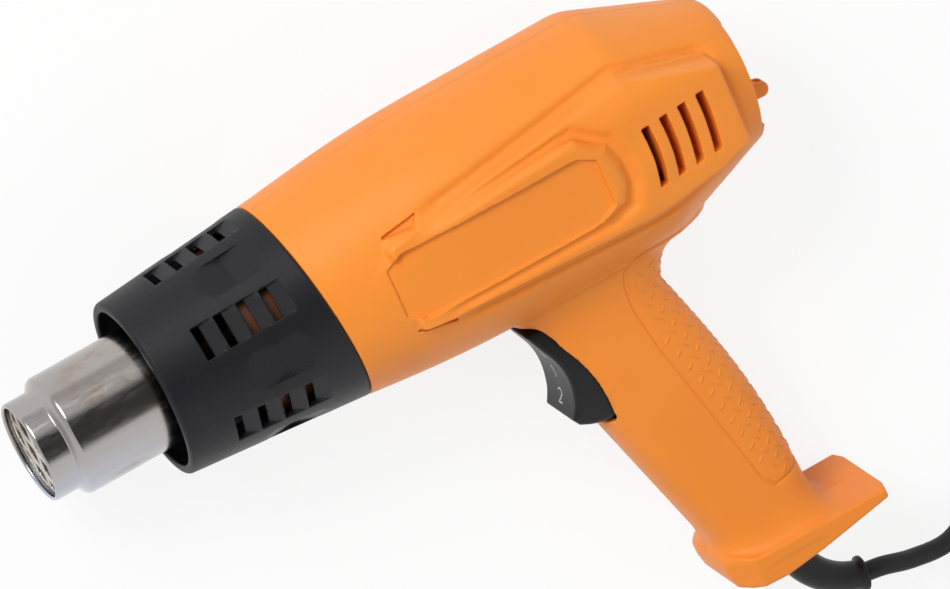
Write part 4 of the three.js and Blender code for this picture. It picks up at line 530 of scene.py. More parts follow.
def catmull_rom(points, per_span):
    """Centripetal curve through the points, with a mirrored point past each end."""
    p = [np.array(q, float) for q in points]
    p = [2 * p[0] - p[1], *p, 2 * p[-1] - p[-2]]
    out = []
    for a, b, c, d in zip(p, p[1:], p[2:], p[3:]):
        t = [0.0]
        for u, v in ((a, b), (b, c), (c, d)):
            t.append(t[-1] + max(np.linalg.norm(v - u), 1e-6) ** 0.5)
        for s in np.linspace(t[1], t[2], per_span, endpoint=False):
            a1 = (t[1] - s) / (t[1] - t[0]) * a + (s - t[0]) / (t[1] - t[0]) * b
            a2 = (t[2] - s) / (t[2] - t[1]) * b + (s - t[1]) / (t[2] - t[1]) * c
            a3 = (t[3] - s) / (t[3] - t[2]) * c + (s - t[2]) / (t[3] - t[2]) * d
            b1 = (t[2] - s) / (t[2] - t[0]) * a1 + (s - t[0]) / (t[2] - t[0]) * a2
            b2 = (t[3] - s) / (t[3] - t[1]) * a2 + (s - t[1]) / (t[3] - t[1]) * a3
            out.append((t[2] - s) / (t[2] - t[1]) * b1 + (s - t[1]) / (t[2] - t[1]) * b2)
    return out


def make_cord():
    straight = 2 * CORD_RADIUS
    start, near_start = (to_world([(*boot_axis(BOOT_TURN, past), 0)])[0] * 1000 for past in (0, straight))
    coil_start = np.array(coil_point(-straight / COIL_ROUND))
    coil_next = np.array(coil_point(0))
    near_end = coil_start + straight * (coil_start - coil_next) / np.linalg.norm(coil_start - coil_next)
    stations = [start, near_start, *LEAD_ROUTE, near_end, coil_start, coil_next]
    lead = catmull_rom(stations, LEAD_STEPS)[:-LEAD_STEPS]
    steps = int(COIL_STEPS * COIL_TURNS)
    coil = [coil_point(COIL_LAST * i / steps) for i in range(steps + 1)]
    points = np.array([*lead, *coil]) / 1000
    curve = bpy.data.curves.new("mains_lead", "CURVE")
    curve.dimensions = "3D"
    curve.bevel_depth = CORD_RADIUS / 1000
    curve.bevel_resolution = LEAD_SIDES
    curve.use_fill_caps = True
    spline = curve.splines.new("POLY")
    spline.points.add(len(points) - 1)
    for point, place in zip(spline.points, points):
        point.co = (*place, 1)
    curve.materials.append(CORD)
    cord = bpy.data.objects.new("mains_lead", curve)
    scene.collection.objects.link(cord)
    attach(cord, "housing")
    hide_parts("cord_lead", "cord_coil")
    length = float(np.linalg.norm(np.diff(points, axis=0), axis=1).sum())
    return cord, points, length


cord, cord_points, cord_length = make_cord()

# Body shells
TAPER_EASE, KEEL_EASE, BARREL_INSET = 1.6, 0.6, 0.03
TAPER_SLOPE = (BARREL_RADIUS - TAPER_RADIUS) / (TAPER_END - TAPER_START)
TAPER_COS = math.cos(math.atan(TAPER_SLOPE))
KEEL_RADIUS = BARREL_RADIUS - KEEL_DROP
KEEL_SLOPE = (KEEL_RADIUS - TAPER_RADIUS) / (TAPER_END - TAPER_START)


def guard_radius(x):
    return blend(GUARD_FRONT_RADIUS, GUARD_REAR_RADIUS, (x - GUARD_START) / (GUARD_END - GUARD_START))


def joint_distance(x, y):
    """Signed distance behind the leaning joint between guard and body."""
    return (x - GUARD_END) * math.cos(JOINT_LEAN) + y * math.sin(JOINT_LEAN)


def swell_radius(x):
    along = share(x, SHOULDER, SHOULDER + SWELL)
    swell = blend(GUARD_REAR_RADIUS, BARREL_RADIUS, np.sin(along * math.pi / 2))
    return np.where(x < SHOULDER, guard_radius(x), swell)


def barrel(x, y, z):
    rho = np.hypot(y, z)
    cone = (rho - BARREL_RADIUS + TAPER_SLOPE * (x - TAPER_START)) * TAPER_COS
    d = smax(rho - swell_radius(x), cone, TAPER_EASE)
    low_rho = np.hypot(y + KEEL_DROP, z)
    keel = (low_rho - KEEL_RADIUS + KEEL_SLOPE * (x - TAPER_START)) * TAPER_COS
    return smin(d, np.maximum(keel, TAPER_START - x), KEEL_EASE) + BARREL_INSET


ROOT_FRONT, ROOT_BACK, ROOT_HALF = 149.0, 236.5, 21.0
GRIP_FRONT, GRIP_BACK, GRIP_HALF = (164.0, 194.6), (213.0, 231.0), 16.8
GRIP_CEILING, GRIP_FLOOR, GRIP_EASE, GRIP_JOIN = -12.0, FOOT_TOP - 3, 1.0, 2.6
GRIP_RUN_ON, ROOT_STEEP = 1.1, 0.999
ROUNDNESS = 2.8
BACK_BULGE = 4.1
SKIRT_HEIGHT, SKIRT_FLARE, SKIRT_CURVE, SKIRT_EASE = 12.0, 4.0, 2.4, 1.0
SKIRT_RANGE = (FOOT_TOP - 2, FOOT_TOP + 12)


def grip_section(y):
    along = np.clip((GRIP_TOP - y) / (GRIP_TOP - GRIP_BOTTOM), 0, GRIP_RUN_ON)
    flare = 1 - np.sqrt(1 - share(y, GRIP_TOP, ROOT_Y) ** 2 * ROOT_STEEP)
    back = blend(*GRIP_BACK, along) + BACK_BULGE * np.sin(math.pi * np.clip(along, 0, 1))
    front = blend(blend(*GRIP_FRONT, along), ROOT_FRONT, flare)
    return front, blend(back, ROOT_BACK, flare), blend(GRIP_HALF, ROOT_HALF, flare)


def grip(x, y, z, inset=0.0):
    front, back, half = grip_section(y)
    a, b = (back - front) / 2 - inset, half - inset
    u, v = np.abs(x - (front + back) / 2) / a, np.abs(z) / b
    s = np.maximum(u**ROUNDNESS + v**ROUNDNESS, 1e-9)
    f = s ** (1 / ROUNDNESS)
    scale = s ** (1 / ROUNDNESS - 1)
    slope = np.hypot(scale * u ** (ROUNDNESS - 1) / a, scale * v ** (ROUNDNESS - 1) / b)
    return (f - 1) / np.maximum(slope, 1 / np.maximum(a, b))


FOOT_SIDE = [
    (FOOT_FRONT + 12, FOOT_TOP),
    (FOOT_FRONT + 2.6, FOOT_TOP + 2.4),
    (FOOT_FRONT + 0.4, FOOT_TOP + 1.2),
    (FOOT_FRONT, FOOT_TOP - 1),
    (FOOT_FRONT, FOOT_TOP - 4),
    (FOOT_FRONT + 1.4, FOOT_TOP - 8.6),
    (FOOT_FRONT + 5, FOOT_TOP - 9.8),
    (FOOT_CROWN_X, FOOT_CROWN),
    (FOOT_CROWN_X + 15, FOOT_CROWN + 1.9),
    (stand_x(FOOT_REAR_BOTTOM), FOOT_REAR_BOTTOM),
    (stand_x(FOOT_TOP), FOOT_TOP),
]
FOOT_REAR = stand_x(FOOT_TOP) + FIT
FOOT_CORNER, FOOT_REAR_HALF, FOOT_EASE, FOOT_JOIN = 8.0, 15.5, 1.3, 3.5
FOOT_MIDDLE = FOOT_HALF - 9
FOOT_PLAN = [
    (FOOT_FRONT, 0),
    (FOOT_FRONT, FOOT_HALF - FOOT_CORNER),
    (FOOT_FRONT + FOOT_CORNER, FOOT_HALF),
    (FOOT_REAR - FIT - 1.4, FOOT_HALF),
    (FOOT_REAR, FOOT_REAR_HALF),
    (FOOT_REAR, 0),
]


def foot(x, y, z):
    """Plate under the grip and the skirt that flares into it."""
    out = np.abs(z)
    plan = outline_distance(x, out, FOOT_PLAN)
    plan = np.where((out < FOOT_MIDDLE) & (plan < 0), between(x, FOOT_FRONT, FOOT_REAR), plan)
    flare = share(y, FOOT_TOP + SKIRT_HEIGHT, FOOT_TOP) ** SKIRT_CURVE
    skirt = np.maximum(grip(x, y, z, -SKIRT_FLARE * flare), between(y, *SKIRT_RANGE))
    return smax(outline_distance(x, y, FOOT_SIDE), plan, FOOT_EASE), smax(skirt, plan, SKIRT_EASE)


def inset(corners, distance):
    """Convex outline with every side drawn in by a distance."""
    turning = sum(ax * by - bx * ay for (ax, ay), (bx, by) in zip(corners, corners[1:] + corners[:1]))
    sides = []
    for (ax, ay), (bx, by) in zip(corners, corners[1:] + corners[:1]):
        length = math.copysign(math.hypot(bx - ax, by - ay), turning)
        normal = ((by - ay) / length, (ax - bx) / length)
        sides.append((*normal, normal[0] * ax + normal[1] * ay - distance))
    out = []
    for (a, b, c), (d, e, f) in zip(sides[-1:] + sides[:-1], sides):
        det = a * e - b * d
        out.append(((c * e - b * f) / det, (a * f - c * d) / det))
    return out


PANEL_START, PANEL_FULL, PANEL_FALL, PANEL_TURN, PANEL_END = 124.0, 157.0, 206.0, 218.0, 252.0
PANEL_FRONT_REACH, PANEL_REACH, PANEL_END_REACH = 39.6, 41.2, 34.5
PANEL_LIMIT, PANEL_END_LIMIT, PANEL_LIMIT_END = 43.2, 38.5, 253.0
PANEL = [
    (PANEL_START, 18.5),
    (PANEL_TURN, 28.8),
    (PANEL_END, 16.5),
    (PANEL_END, -14.8),
    (238, -18.4),
    (210, -20.6),
    (PANEL_START, -15.4),
]
PANEL_ROUND = 4.0
PANEL_SLOPE = (1.7, 4.0)
PANEL_CREST, PANEL_FOOT_EASE, PANEL_EASE, PANEL_JOIN = 2.4, 0.5, 0.8, 0.8
VALLEY_FADE_IN, VALLEY_FADE_OUT = 10.0, 8.0
PANEL_VALLEY_START, PANEL_VALLEY_END, PANEL_VALLEY_DEPTH, PANEL_VALLEY_WIDTH = 137.0, 256.0, 1.5, 1.8
PANEL_VALLEY_OFFSET = 0.3


def panel_edge(x, y):
    return outline_distance(x, y, inset(PANEL, PANEL_ROUND)) - PANEL_ROUND


def valley(x, edge, start, end, depth, width):
    """Soft hollow along the foot of a raised form, fading out at both ends."""
    fade = share(x, start, start + VALLEY_FADE_IN) * share(x, end, end - VALLEY_FADE_OUT)
    return depth * fade * np.exp(-((edge / width) ** 2))


def panel(x, edge, out, rho):
    """Raised flat on each side that dips to the front and, further, to the rear."""
    front = blend(PANEL_FRONT_REACH, PANEL_REACH, share(x, PANEL_START, PANEL_FULL))
    rear = blend(PANEL_REACH, PANEL_END_REACH, (x - PANEL_FALL) / (PANEL_END - PANEL_FALL))
    reach = np.where(x > PANEL_FALL, rear, front)
    fall = np.maximum((x - PANEL_TURN) / (PANEL_LIMIT_END - PANEL_TURN), 0)
    top = smax(out - reach, rho - blend(PANEL_LIMIT, PANEL_END_LIMIT, fall), PANEL_CREST)
    width, height = PANEL_SLOPE
    slope = (top + (edge + width) * (height / width)) * math.cos(math.atan(height / width))
    return smax(smax(edge, slope, PANEL_FOOT_EASE), top, PANEL_EASE)


FRAME_START, FRAME_END, FRAME_MIDDLE, FRAME_HALF = 114.5, 206.5, 2.0, 19.5
FRAME_CUT = (12.0, 6.5)
FRAME_WIDTH = 8.0
FRAME_BLEND_END, FRAME_FRONT_PROUD, FRAME_BLEND_PROUD = 170.0, 0.3, 6.5
FRAME_FRONT_REACH, FRAME_REACH = 40.5, 42.3
FRAME_SINK, FRAME_SINK_START, FRAME_SINK_END = 1.0, 148.0, 122.0
FRAME_SLOPE, FRAME_REAR_SLOPE, FRAME_RISE = 2.6, 5.0, 2.2
FRAME_SLOPE_START, FRAME_SLOPE_END = 190.0, 202.0
FRAME_CREST, FRAME_FOOT_EASE, FRAME_EASE, FRAME_JOIN = 3.0, 0.4, 1.0, 0.8
FIELD_DEPTH, FIELD_CORNER, FIELD_SLOPE, FIELD_EASE = 1.9, 1.2, 0.35, 0.35
FRAME_EDGE = [
    (FRAME_START + a, FRAME_MIDDLE + b)
    for a, b in (
        (0, FRAME_HALF - FRAME_CUT[1]),
        (0, FRAME_CUT[1] - FRAME_HALF),
        (FRAME_CUT[0], -FRAME_HALF),
        (FRAME_END - FRAME_START - FRAME_CUT[0], -FRAME_HALF),
        (FRAME_END - FRAME_START, FRAME_CUT[1] - FRAME_HALF),
        (FRAME_END - FRAME_START, FRAME_HALF - FRAME_CUT[1]),
        (FRAME_END - FRAME_START - FRAME_CUT[0], FRAME_HALF),
        (FRAME_CUT[0], FRAME_HALF),
    )
]


def frame_top(x, out, rho):
    """Height over the frame's face, which is flat behind and follows the barrel's round in front."""
    reach = blend(FRAME_REACH, FRAME_FRONT_REACH, (FRAME_END - x) / (FRAME_END - FRAME_START))
    proud = blend(FRAME_FRONT_PROUD, FRAME_BLEND_PROUD, share(x, FRAME_START, FRAME_BLEND_END))
    return smax(out - reach, rho - swell_radius(x) - proud, FRAME_CREST)


FRAME_MOAT = [
    (114.5, 11), (122, 16), (143, 17.9), (190, 21.0), (195.5, 20.6), (205.5, 13.5),
    (208, 5), (208, -3), (205, -9.8), (196, -12.2), (122, -12), (114.5, -7),
]
MOAT_START, MOAT_END = 132.0, 262.0
MOAT_DEPTH, MOAT_REAR_DEPTH, MOAT_WIDTH, MOAT_REAR_WIDTH = 1.5, 2.4, 1.5, 2.6
MOAT_WIDENS_START, MOAT_WIDENS_END = 188.0, 200.0


def moat(x, edge):
    rear = share(x, MOAT_WIDENS_START, MOAT_WIDENS_END)
    depth, width = blend(MOAT_DEPTH, MOAT_REAR_DEPTH, rear), blend(MOAT_WIDTH, MOAT_REAR_WIDTH, rear)
    return valley(x, edge, MOAT_START, MOAT_END, depth, width)


def badge_frame(x, edge, top):
    width = blend(FRAME_SLOPE, FRAME_REAR_SLOPE, share(x, FRAME_SLOPE_START, FRAME_SLOPE_END))
    steep = FRAME_RISE / width
    slope = (top + (edge + width) * steep) / np.hypot(1, steep)
    return smax(smax(edge, slope, FRAME_FOOT_EASE), top, FRAME_EASE)


def badge_field(x, y, top):
    edge = outline_distance(x, y, inset(FRAME_EDGE, FRAME_WIDTH + FIELD_CORNER)) - FIELD_CORNER
    depth = -FIELD_DEPTH - top
    return smax(edge + FIELD_SLOPE * depth, depth, FIELD_EASE)


VENT_START, VENT_PITCH, VENT_COUNT = 217.6, 7.27, 4
VENT_HALF = (1.5, 10.5)
VENT_MIDDLE, VENT_SLANT, VENT_BOW, VENT_CORNER = 0.6, 1.4, 0.7, 0.4
VENT_DEPTH, VENT_EASE = 12.0, 0.5


def vents(x, y):
    v = (y - VENT_MIDDLE) / VENT_HALF[1]
    shift = VENT_SLANT / 2 * v + VENT_BOW * (1 - v * v)
    dy = np.abs(y - VENT_MIDDLE) - VENT_HALF[1]
    places = [VENT_START + VENT_PITCH * i for i in range(VENT_COUNT)]
    return either(*(rounded_box(np.abs(x - p - shift) - VENT_HALF[0], dy, VENT_CORNER) for p in places))


NOTCHES = [
    [(126.4, 19.6), (139.0, 21.4), (136.2, 19.0)],
    [(124.6, -13.5), (134.4, -14.9), (137.4, -16.4)],
]
NOTCH_DEPTH, NOTCH_ROUND, NOTCH_FLOOR_EASE, NOTCH_EASE = 1.5, 0.35, 0.4, 0.6
TREAD = [
    (202.1, -35.5), (198.6, -39.5), (197.2, -44.2), (197.2, -53.8), (199.9, -68.7), (205.5, -91.1),
    (211.0, -113.8), (214.4, -128.2), (217.5, -132.0), (226.5, -131.6), (231.5, -128.0), (262.0, -100.0),
    (262.0, -24.5), (246.2, -27.3), (230.6, -32.6), (215.5, -34.3), (207.0, -34.5),
]
TREAD_CELL = 3.9
TREAD_ROUND, TREAD_RAKE, TREAD_MIDDLE = 21.0, 0.28, 215.0
GROOVE_DEPTH, GROOVE_WIDTH, GROOVE_TOP = 0.62, 0.5, -20.0


def tread_groove(x, y):
    """Groove round the tread panel."""
    edge = outline_distance(x, y, TREAD)
    return np.where(y < GROOVE_TOP, GROOVE_DEPTH * np.exp(-((edge / GROOVE_WIDTH) ** 2)), 0)


OPENING_TOP, OPENING_BOTTOM, OPENING_DEPTH, OPENING_FRONT = -43.6, -86.4, 188.5, 130.0
OPENING_CORNER = 8.0
OPENING = [
    (OPENING_FRONT, OPENING_TOP),
    (OPENING_DEPTH - 5, OPENING_TOP),
    (OPENING_DEPTH, OPENING_TOP - OPENING_CORNER),
    (OPENING_DEPTH, OPENING_BOTTOM + OPENING_CORNER),
    (OPENING_DEPTH - 3, OPENING_BOTTOM),
    (OPENING_FRONT, OPENING_BOTTOM),
]
OPENING_SIDE_EASE, OPENING_EASE = 2.0, 1.3
ROCKER_CLEARANCE, PIN_CLEARANCE, PIN_END_CLEARANCE = 0.5, 0.3, 0.2
BRACKET_START, BRACKET_END = 166.0, 174.0
BRACKET_RING = BARREL_RADIUS - WALL - FIT
SPIGOT_START, SPIGOT_SEAT, SPIGOT_END = 75.3, 91.3, 108.0
SPIGOT_BORE, SPIGOT_WALL, SPIGOT_LAP = 27.8, 2.0, 1.0
RIB, RIB_RISE = 2.5, 3.0
HOLLOW_FRONT, HOLLOW_FLOOR, HOLLOW_EASE = 60.0, -60.0, 0.4
HOLLOW_STATIONS = (14, 26, 40)


def barrel_inside(x):
    taper = TAPER_SLOPE * max(x - TAPER_START, 0)
    return (x, float(swell_radius(x)) - taper - WALL)


def hollow_profile():
    """Half section of the hollow: bore, flange groove, barrel and the bracket's groove between two ribs."""
    flange_room = FLANGE_RADIUS + FIT
    rib_end = FLANGE_END + FIT + RIB
    rib_bore = BRACKET_RING - RIB_RISE
    front, rear = BRACKET_START - FIT, BRACKET_END + FIT
    return [
        (HOLLOW_FRONT, HOLLOW_FLOOR),
        (HOLLOW_FRONT, SPIGOT_BORE),
        (FLANGE_START - FIT, SPIGOT_BORE),
        (FLANGE_START - FIT, flange_room),
        (FLANGE_END + FIT, flange_room),
        (FLANGE_END + FIT, SPIGOT_BORE),
        (rib_end, SPIGOT_BORE),
        barrel_inside(rib_end),
        *[barrel_inside(SHOULDER + s) for s in HOLLOW_STATIONS],
        barrel_inside(front - RIB),
        (front - RIB, rib_bore),
        (front, rib_bore),
        (front, BRACKET_RING + FIT),
        (rear, BRACKET_RING + FIT),
        (rear, rib_bore),
        (rear + RIB, rib_bore),
        barrel_inside(rear + RIB),
        barrel_inside(TAPER_START),
        barrel_inside(TAPER_END),
        (TAPER_END, HOLLOW_FLOOR),
    ]


HOLLOW = hollow_profile()
LEAST_WALL, ROOT_HOLLOW, GRIP_HOLLOW_TOP = 1.1, -46.0, -16.0
STAND_FOOT_HEIGHT, STAND_FOOT_GAP = 1.4, 35.0
STAND_EASE, STAND_CROWN_EASE, STAND_CROWN_START, STAND_CROWN_END = 1.2, 5.7, 4.0, 18.0
VENT_PADS = [(219.4, 246.0, -12.5, 13.5, 25.0), (212.5, 220.0, -12.5, 13.5, 34.9)]
SIDE_FACE = 15.0
CUT_EASE = 0.6
SHOULDER_EASE = 0.7


def stand_distance(x, y):
    return (x - STAND_X) * math.cos(STAND_ANGLE) - y * math.sin(STAND_ANGLE)


def stand_height(x, y):
    return (x - STAND_X) * math.sin(STAND_ANGLE) + y * math.cos(STAND_ANGLE)


def outer_body(x, y, z):
    """Skin of the closed body, without its hollow and openings."""
    out, rho = np.abs(z), np.hypot(y, z)
    handle = np.maximum(smax(grip(x, y, z), y - GRIP_CEILING, GRIP_EASE), GRIP_FLOOR - y)
    plate, skirt = foot(x, y, z)
    d = smin(barrel(x, y, z), np.minimum(handle, skirt), GRIP_JOIN)
    d = smin(d, plate, FOOT_JOIN) + tread_groove(x, y)
    edge = panel_edge(x, y)
    d = smin(d, panel(x, edge, out, rho), PANEL_JOIN)
    foot_line = edge - PANEL_VALLEY_OFFSET
    sunk = valley(
        x, foot_line, PANEL_VALLEY_START, PANEL_VALLEY_END, PANEL_VALLEY_DEPTH, PANEL_VALLEY_WIDTH
    )
    d = d + np.where(out > SIDE_FACE, sunk, 0)
    top = frame_top(x, out, rho)
    edge = outline_distance(x, y, FRAME_MOAT)
    lowered = top + FRAME_SINK * share(x, FRAME_SINK_START, FRAME_SINK_END)
    d = smin(d, badge_frame(x, edge, lowered), FRAME_JOIN)
    d = d + np.where(out > SIDE_FACE, moat(x, edge), 0)
    d = smax(d, -badge_field(x, y, top), FIELD_EASE)
    for notch in NOTCHES:
        floor = swell_radius(x) - NOTCH_DEPTH - rho
        d = smax(d, -smax(outline_distance(x, y, notch) - NOTCH_ROUND, floor, NOTCH_FLOOR_EASE), NOTCH_EASE)
    behind = stand_distance(x, y)
    crown = share(y, STAND_CROWN_START, STAND_CROWN_END)
    d = smax(d, behind - STAND_FOOT_HEIGHT, blend(STAND_EASE, STAND_CROWN_EASE, crown))
    gap = np.maximum(np.abs(stand_height(x, y)) - STAND_FOOT_GAP / 2, -behind)
    return smax(d, -gap, CUT_EASE)


def rocker_half(y):
    along = (2 * y - OPENING_TOP - OPENING_BOTTOM) / (OPENING_TOP - OPENING_BOTTOM)
    return ROCKER_HALF + ROCKER_BOW * np.clip(1 - along * along, 0, 1)


def rocker_opening(x, y, z):
    wide = np.abs(z) - rocker_half(y) - ROCKER_CLEARANCE
    return smax(outline_distance(x, y, OPENING), wide, OPENING_SIDE_EASE)


BOSS_RADIUS, SCREW_BORE, SCREW_BORE_END, SCREW_EASE = 3.8, 3.3, -8.0, 0.5
PILOT_RADIUS, PILOT_START, PILOT_END = 1.8, -9.0, 10.3
BOOT_BORE, BOOT_BORE_TOP, BOOT_BORE_LENGTH = 6.3, FOOT_FLOOR + 1, 27.0
INTAKE_RADIUS, INTAKE_START, INTAKE_END = 18.6, -WALL - 2, 10.0


def body(x, y, z):
    rho, out = np.hypot(y, z), np.abs(z)
    skin = outer_body(x, y, z)
    shoulder = smax(skin, FIT - joint_distance(x, y), SHOULDER_EASE)
    tube = both(rho - SPIGOT_BORE - SPIGOT_WALL, between(x, SPIGOT_START, SPIGOT_SEAT + SPIGOT_LAP))
    seat = both(rho - guard_radius(x) + GUARD_WALL + FIT, between(x, SPIGOT_SEAT, SPIGOT_END))
    d = np.minimum(shoulder, smin(tube, seat, CUT_EASE))
    hollow = np.maximum(outline_distance(x, rho, HOLLOW), stand_distance(x, y) + WALL)
    for x0, x1, y0, y1, reach in VENT_PADS:
        hollow = np.maximum(hollow, -both(between(x, x0, x1), between(y, y0, y1), reach - out))
    inner_grip = grip(x, np.minimum(y, ROOT_HOLLOW), z, WALL)
    hollow = np.minimum(hollow, both(inner_grip, between(y, FOOT_FLOOR, GRIP_HOLLOW_TOP)))
    across = [np.hypot(x - sx, y - sy) for sx, sy in SCREWS]
    hollow = both(hollow, BOSS_RADIUS - either(*across), skin + LEAST_WALL)
    d = smax(d, -hollow, HOLLOW_EASE)
    d = smax(d, -np.maximum(vents(x, y), VENT_DEPTH - out), VENT_EASE)
    for r in across:
        d = smax(d, -np.maximum(r - SCREW_BORE, z - SCREW_BORE_END), SCREW_EASE)
        d = np.maximum(d, -both(r - PILOT_RADIUS, between(z, PILOT_START, PILOT_END)))
    d = smax(d, -rocker_opening(x, y, z), OPENING_EASE)
    pin = np.hypot(x - PIVOT[0], y - PIVOT[1]) - ROCKER_PIN - PIN_CLEARANCE
    d = np.maximum(d, -np.maximum(pin, out - ROCKER_PIN_REACH - PIN_END_CLEARANCE))
    boot_room = between(y, BOOT_BORE_TOP - BOOT_BORE_LENGTH, BOOT_BORE_TOP)
    d = smax(d, -both(np.hypot(x - BOOT_X, z) - BOOT_BORE, boot_room), CUT_EASE)
    intake = np.hypot(stand_height(x, y), z) - INTAKE_RADIUS
    return smax(d, -both(intake, between(stand_distance(x, y), INTAKE_START, INTAKE_END)), CUT_EASE)


PARTING, PARTING_EASE = 0.015, 0.1
SHELL_LOW, SHELL_HIGH, SHELL_LAP = (73, -162.5, -44), (264.5, 43.5, 44), 0.6


def left_half(x, y, z):
    return smax(body(x, y, z), PARTING - z, PARTING_EASE)


def right_half(x, y, z):
    return smax(body(x, y, z), PARTING + z, PARTING_EASE)


for side, half, low_z, high_z in (
    ("left", left_half, -SHELL_LAP, SHELL_HIGH[2]),
    ("right", right_half, SHELL_LOW[2], SHELL_LAP),
):
    from_field(
        f"{side}_shell_moulding",
        half,
        (*SHELL_LOW[:2], low_z),
        (*SHELL_HIGH[:2], high_z),
        STEP,
        ORANGE,
        "housing",
        "orange_plastic",
        [f"{side}_shell"],
    )

# Herringbone bars of the tread, laid on the grip's round
BAR_LENGTH, BAR_HALF, BAR_PROUD, BAR_SINK, BAR_MARGIN = 3.1, 0.42, 0.26, 0.25, 1.5
BAR_TOP = -41.0
BAR_SIDE = [(-1.0, -BAR_SINK), (-0.8, 0.1), (-0.35, BAR_PROUD)]
BAR_SECTION = BAR_SIDE + [(-w, lift) for w, lift in reversed(BAR_SIDE)]
BAR_STATIONS = ((-1, 0.35), (-0.8, 1), (0, 1), (0.8, 1), (1, 0.35))
BAR_CELLS = range(-60, 30)
BAR_ACROSS, BAR_UP = (1.6, 1.5 * TREAD_ROUND), (-140, -20)
ROUND_PASSES = 12


def tread_point(across, up, lift, side):
    """Point of the grip's round for a place on the unrolled tread, lifted off the surface."""
    theta = across / TREAD_ROUND
    c, s = math.cos(theta), math.sin(theta)
    reach = (abs(c) ** ROUNDNESS + abs(s) ** ROUNDNESS) ** (-1 / ROUNDNESS)
    x = TREAD_MIDDLE
    for _ in range(ROUND_PASSES):
        y = up - TREAD_RAKE * (x - TREAD_MIDDLE)
        front, back, half = (float(v) for v in grip_section(np.array(y)))
        x = (front + back) / 2 + (back - front) / 2 * reach * c
    nx = math.copysign(abs(c) ** (ROUNDNESS - 1), c) * 2 / (back - front)
    nz = abs(s) ** (ROUNDNESS - 1) / half
    size = math.hypot(nx, nz)
    return (x + lift * nx / size, y, side * (half * reach * s + lift * nz / size))


def bar_ring(middle, run, wide, along, size, side):
    """Section across a bar at a station along it."""
    ring = []
    for w, lift in BAR_SECTION:
        place = middle + run * along * BAR_LENGTH / 2 + wide * w * BAR_HALF * size
        ring.append(tread_point(*place, lift if lift < 0 else lift * size, side))
    return ring


def make_tread(name, side):
    points, faces = [], []
    count = len(BAR_SECTION)
    for i, j in ((i, j) for i in BAR_CELLS for j in BAR_CELLS):
        middle = np.array((i - j, i + j + 1)) * TREAD_CELL / math.sqrt(2)
        if not BAR_ACROSS[0] < middle[0] < BAR_ACROSS[1] or not BAR_UP[0] < middle[1] < BAR_UP[1]:
            continue
        lean = -1 if (i + j) % 2 else 1
        run, wide = np.array((lean, 1)) / math.sqrt(2), np.array((1, -lean)) / math.sqrt(2)
        ends = np.array([tread_point(*(middle + run * s * BAR_LENGTH / 2), 0, side) for s in (-1, 1)])
        edge = outline_distance(ends[:, 0], ends[:, 1], TREAD)
        if edge.max() > -BAR_MARGIN or ends[:, 1].max() > BAR_TOP:
            continue
        first = len(points)
        for along, size in BAR_STATIONS:
            points += bar_ring(middle, run, wide, along, size, side)
        for a in range(len(BAR_STATIONS) - 1):
            for k in range(first + a * count, first + (a + 1) * count - 1):
                faces.append((k, k + 1, k + count + 1, k + count)[:: lean * side])
        for a in (0, len(BAR_STATIONS) - 1):
            faces.append(tuple(range(first + a * count, first + (a + 1) * count)))
    add_mesh(name, points, faces, ORANGE, "housing", "orange_plastic")


make_tread("left_tread_bars", 1)
make_tread("right_tread_bars", -1)

# Heat guard with slots, ramps behind them and thumb recesses between the rows
SLOT_START, SLOT_PITCH, SLOT_COUNT = GUARD_START + 16.6, 8.3, 4
SLOT_LENGTH, SLOT_HALF, SLOT_RAMP, SLOT_EASE = 3.0, 5.75, 5.0, 0.3
RAMP_DEPTH, RAMP_RISE, RAMP_LEAN = GUARD_WALL * 0.75, GUARD_WALL * 0.8, 0.94
THUMB_START, THUMB_LENGTH, THUMB_HALF, THUMB_DEPTH = GUARD_START + 38.0, 11.5, 6.6, 2.2
THUMB_RUN_OUT, THUMB_SKIN, THUMB_CORNER, THUMB_EASE = 0.09, 1.0, 3.0, 0.15
RIB_DEPTH, RIB_MIDDLE, RIB_LENGTH, RIB_OFFSET, RIB_HALF, RIB_JOIN = 6.5, 62.0, 24.0, 1.0, 0.7, 0.4
LIP_START, LIP_END = GUARD_START + 4, GUARD_START + 1
GUARD_NOSE, GUARD_HOLLOW_EASE = 1.6, 0.8
SIXTH = math.pi / 3


def thumb_recess(x, rho, angle):
    """Flat-floored hollows between the slot rows that run out to the front."""
    turned = angle - SIXTH * (np.floor(angle / SIXTH) + 0.5)
    along = x - THUMB_START
    deepest = guard_radius(THUMB_START) - THUMB_DEPTH
    rise = (guard_radius(THUMB_START + THUMB_LENGTH) - deepest) / THUMB_LENGTH
    floor = deepest + np.maximum(along, 0) * rise + np.maximum(-along, 0) * THUMB_RUN_OUT
    side = smax(np.abs(rho * np.sin(turned)) - THUMB_HALF, along - THUMB_LENGTH, THUMB_CORNER)
    return np.maximum(floor - rho * np.cos(turned), side)


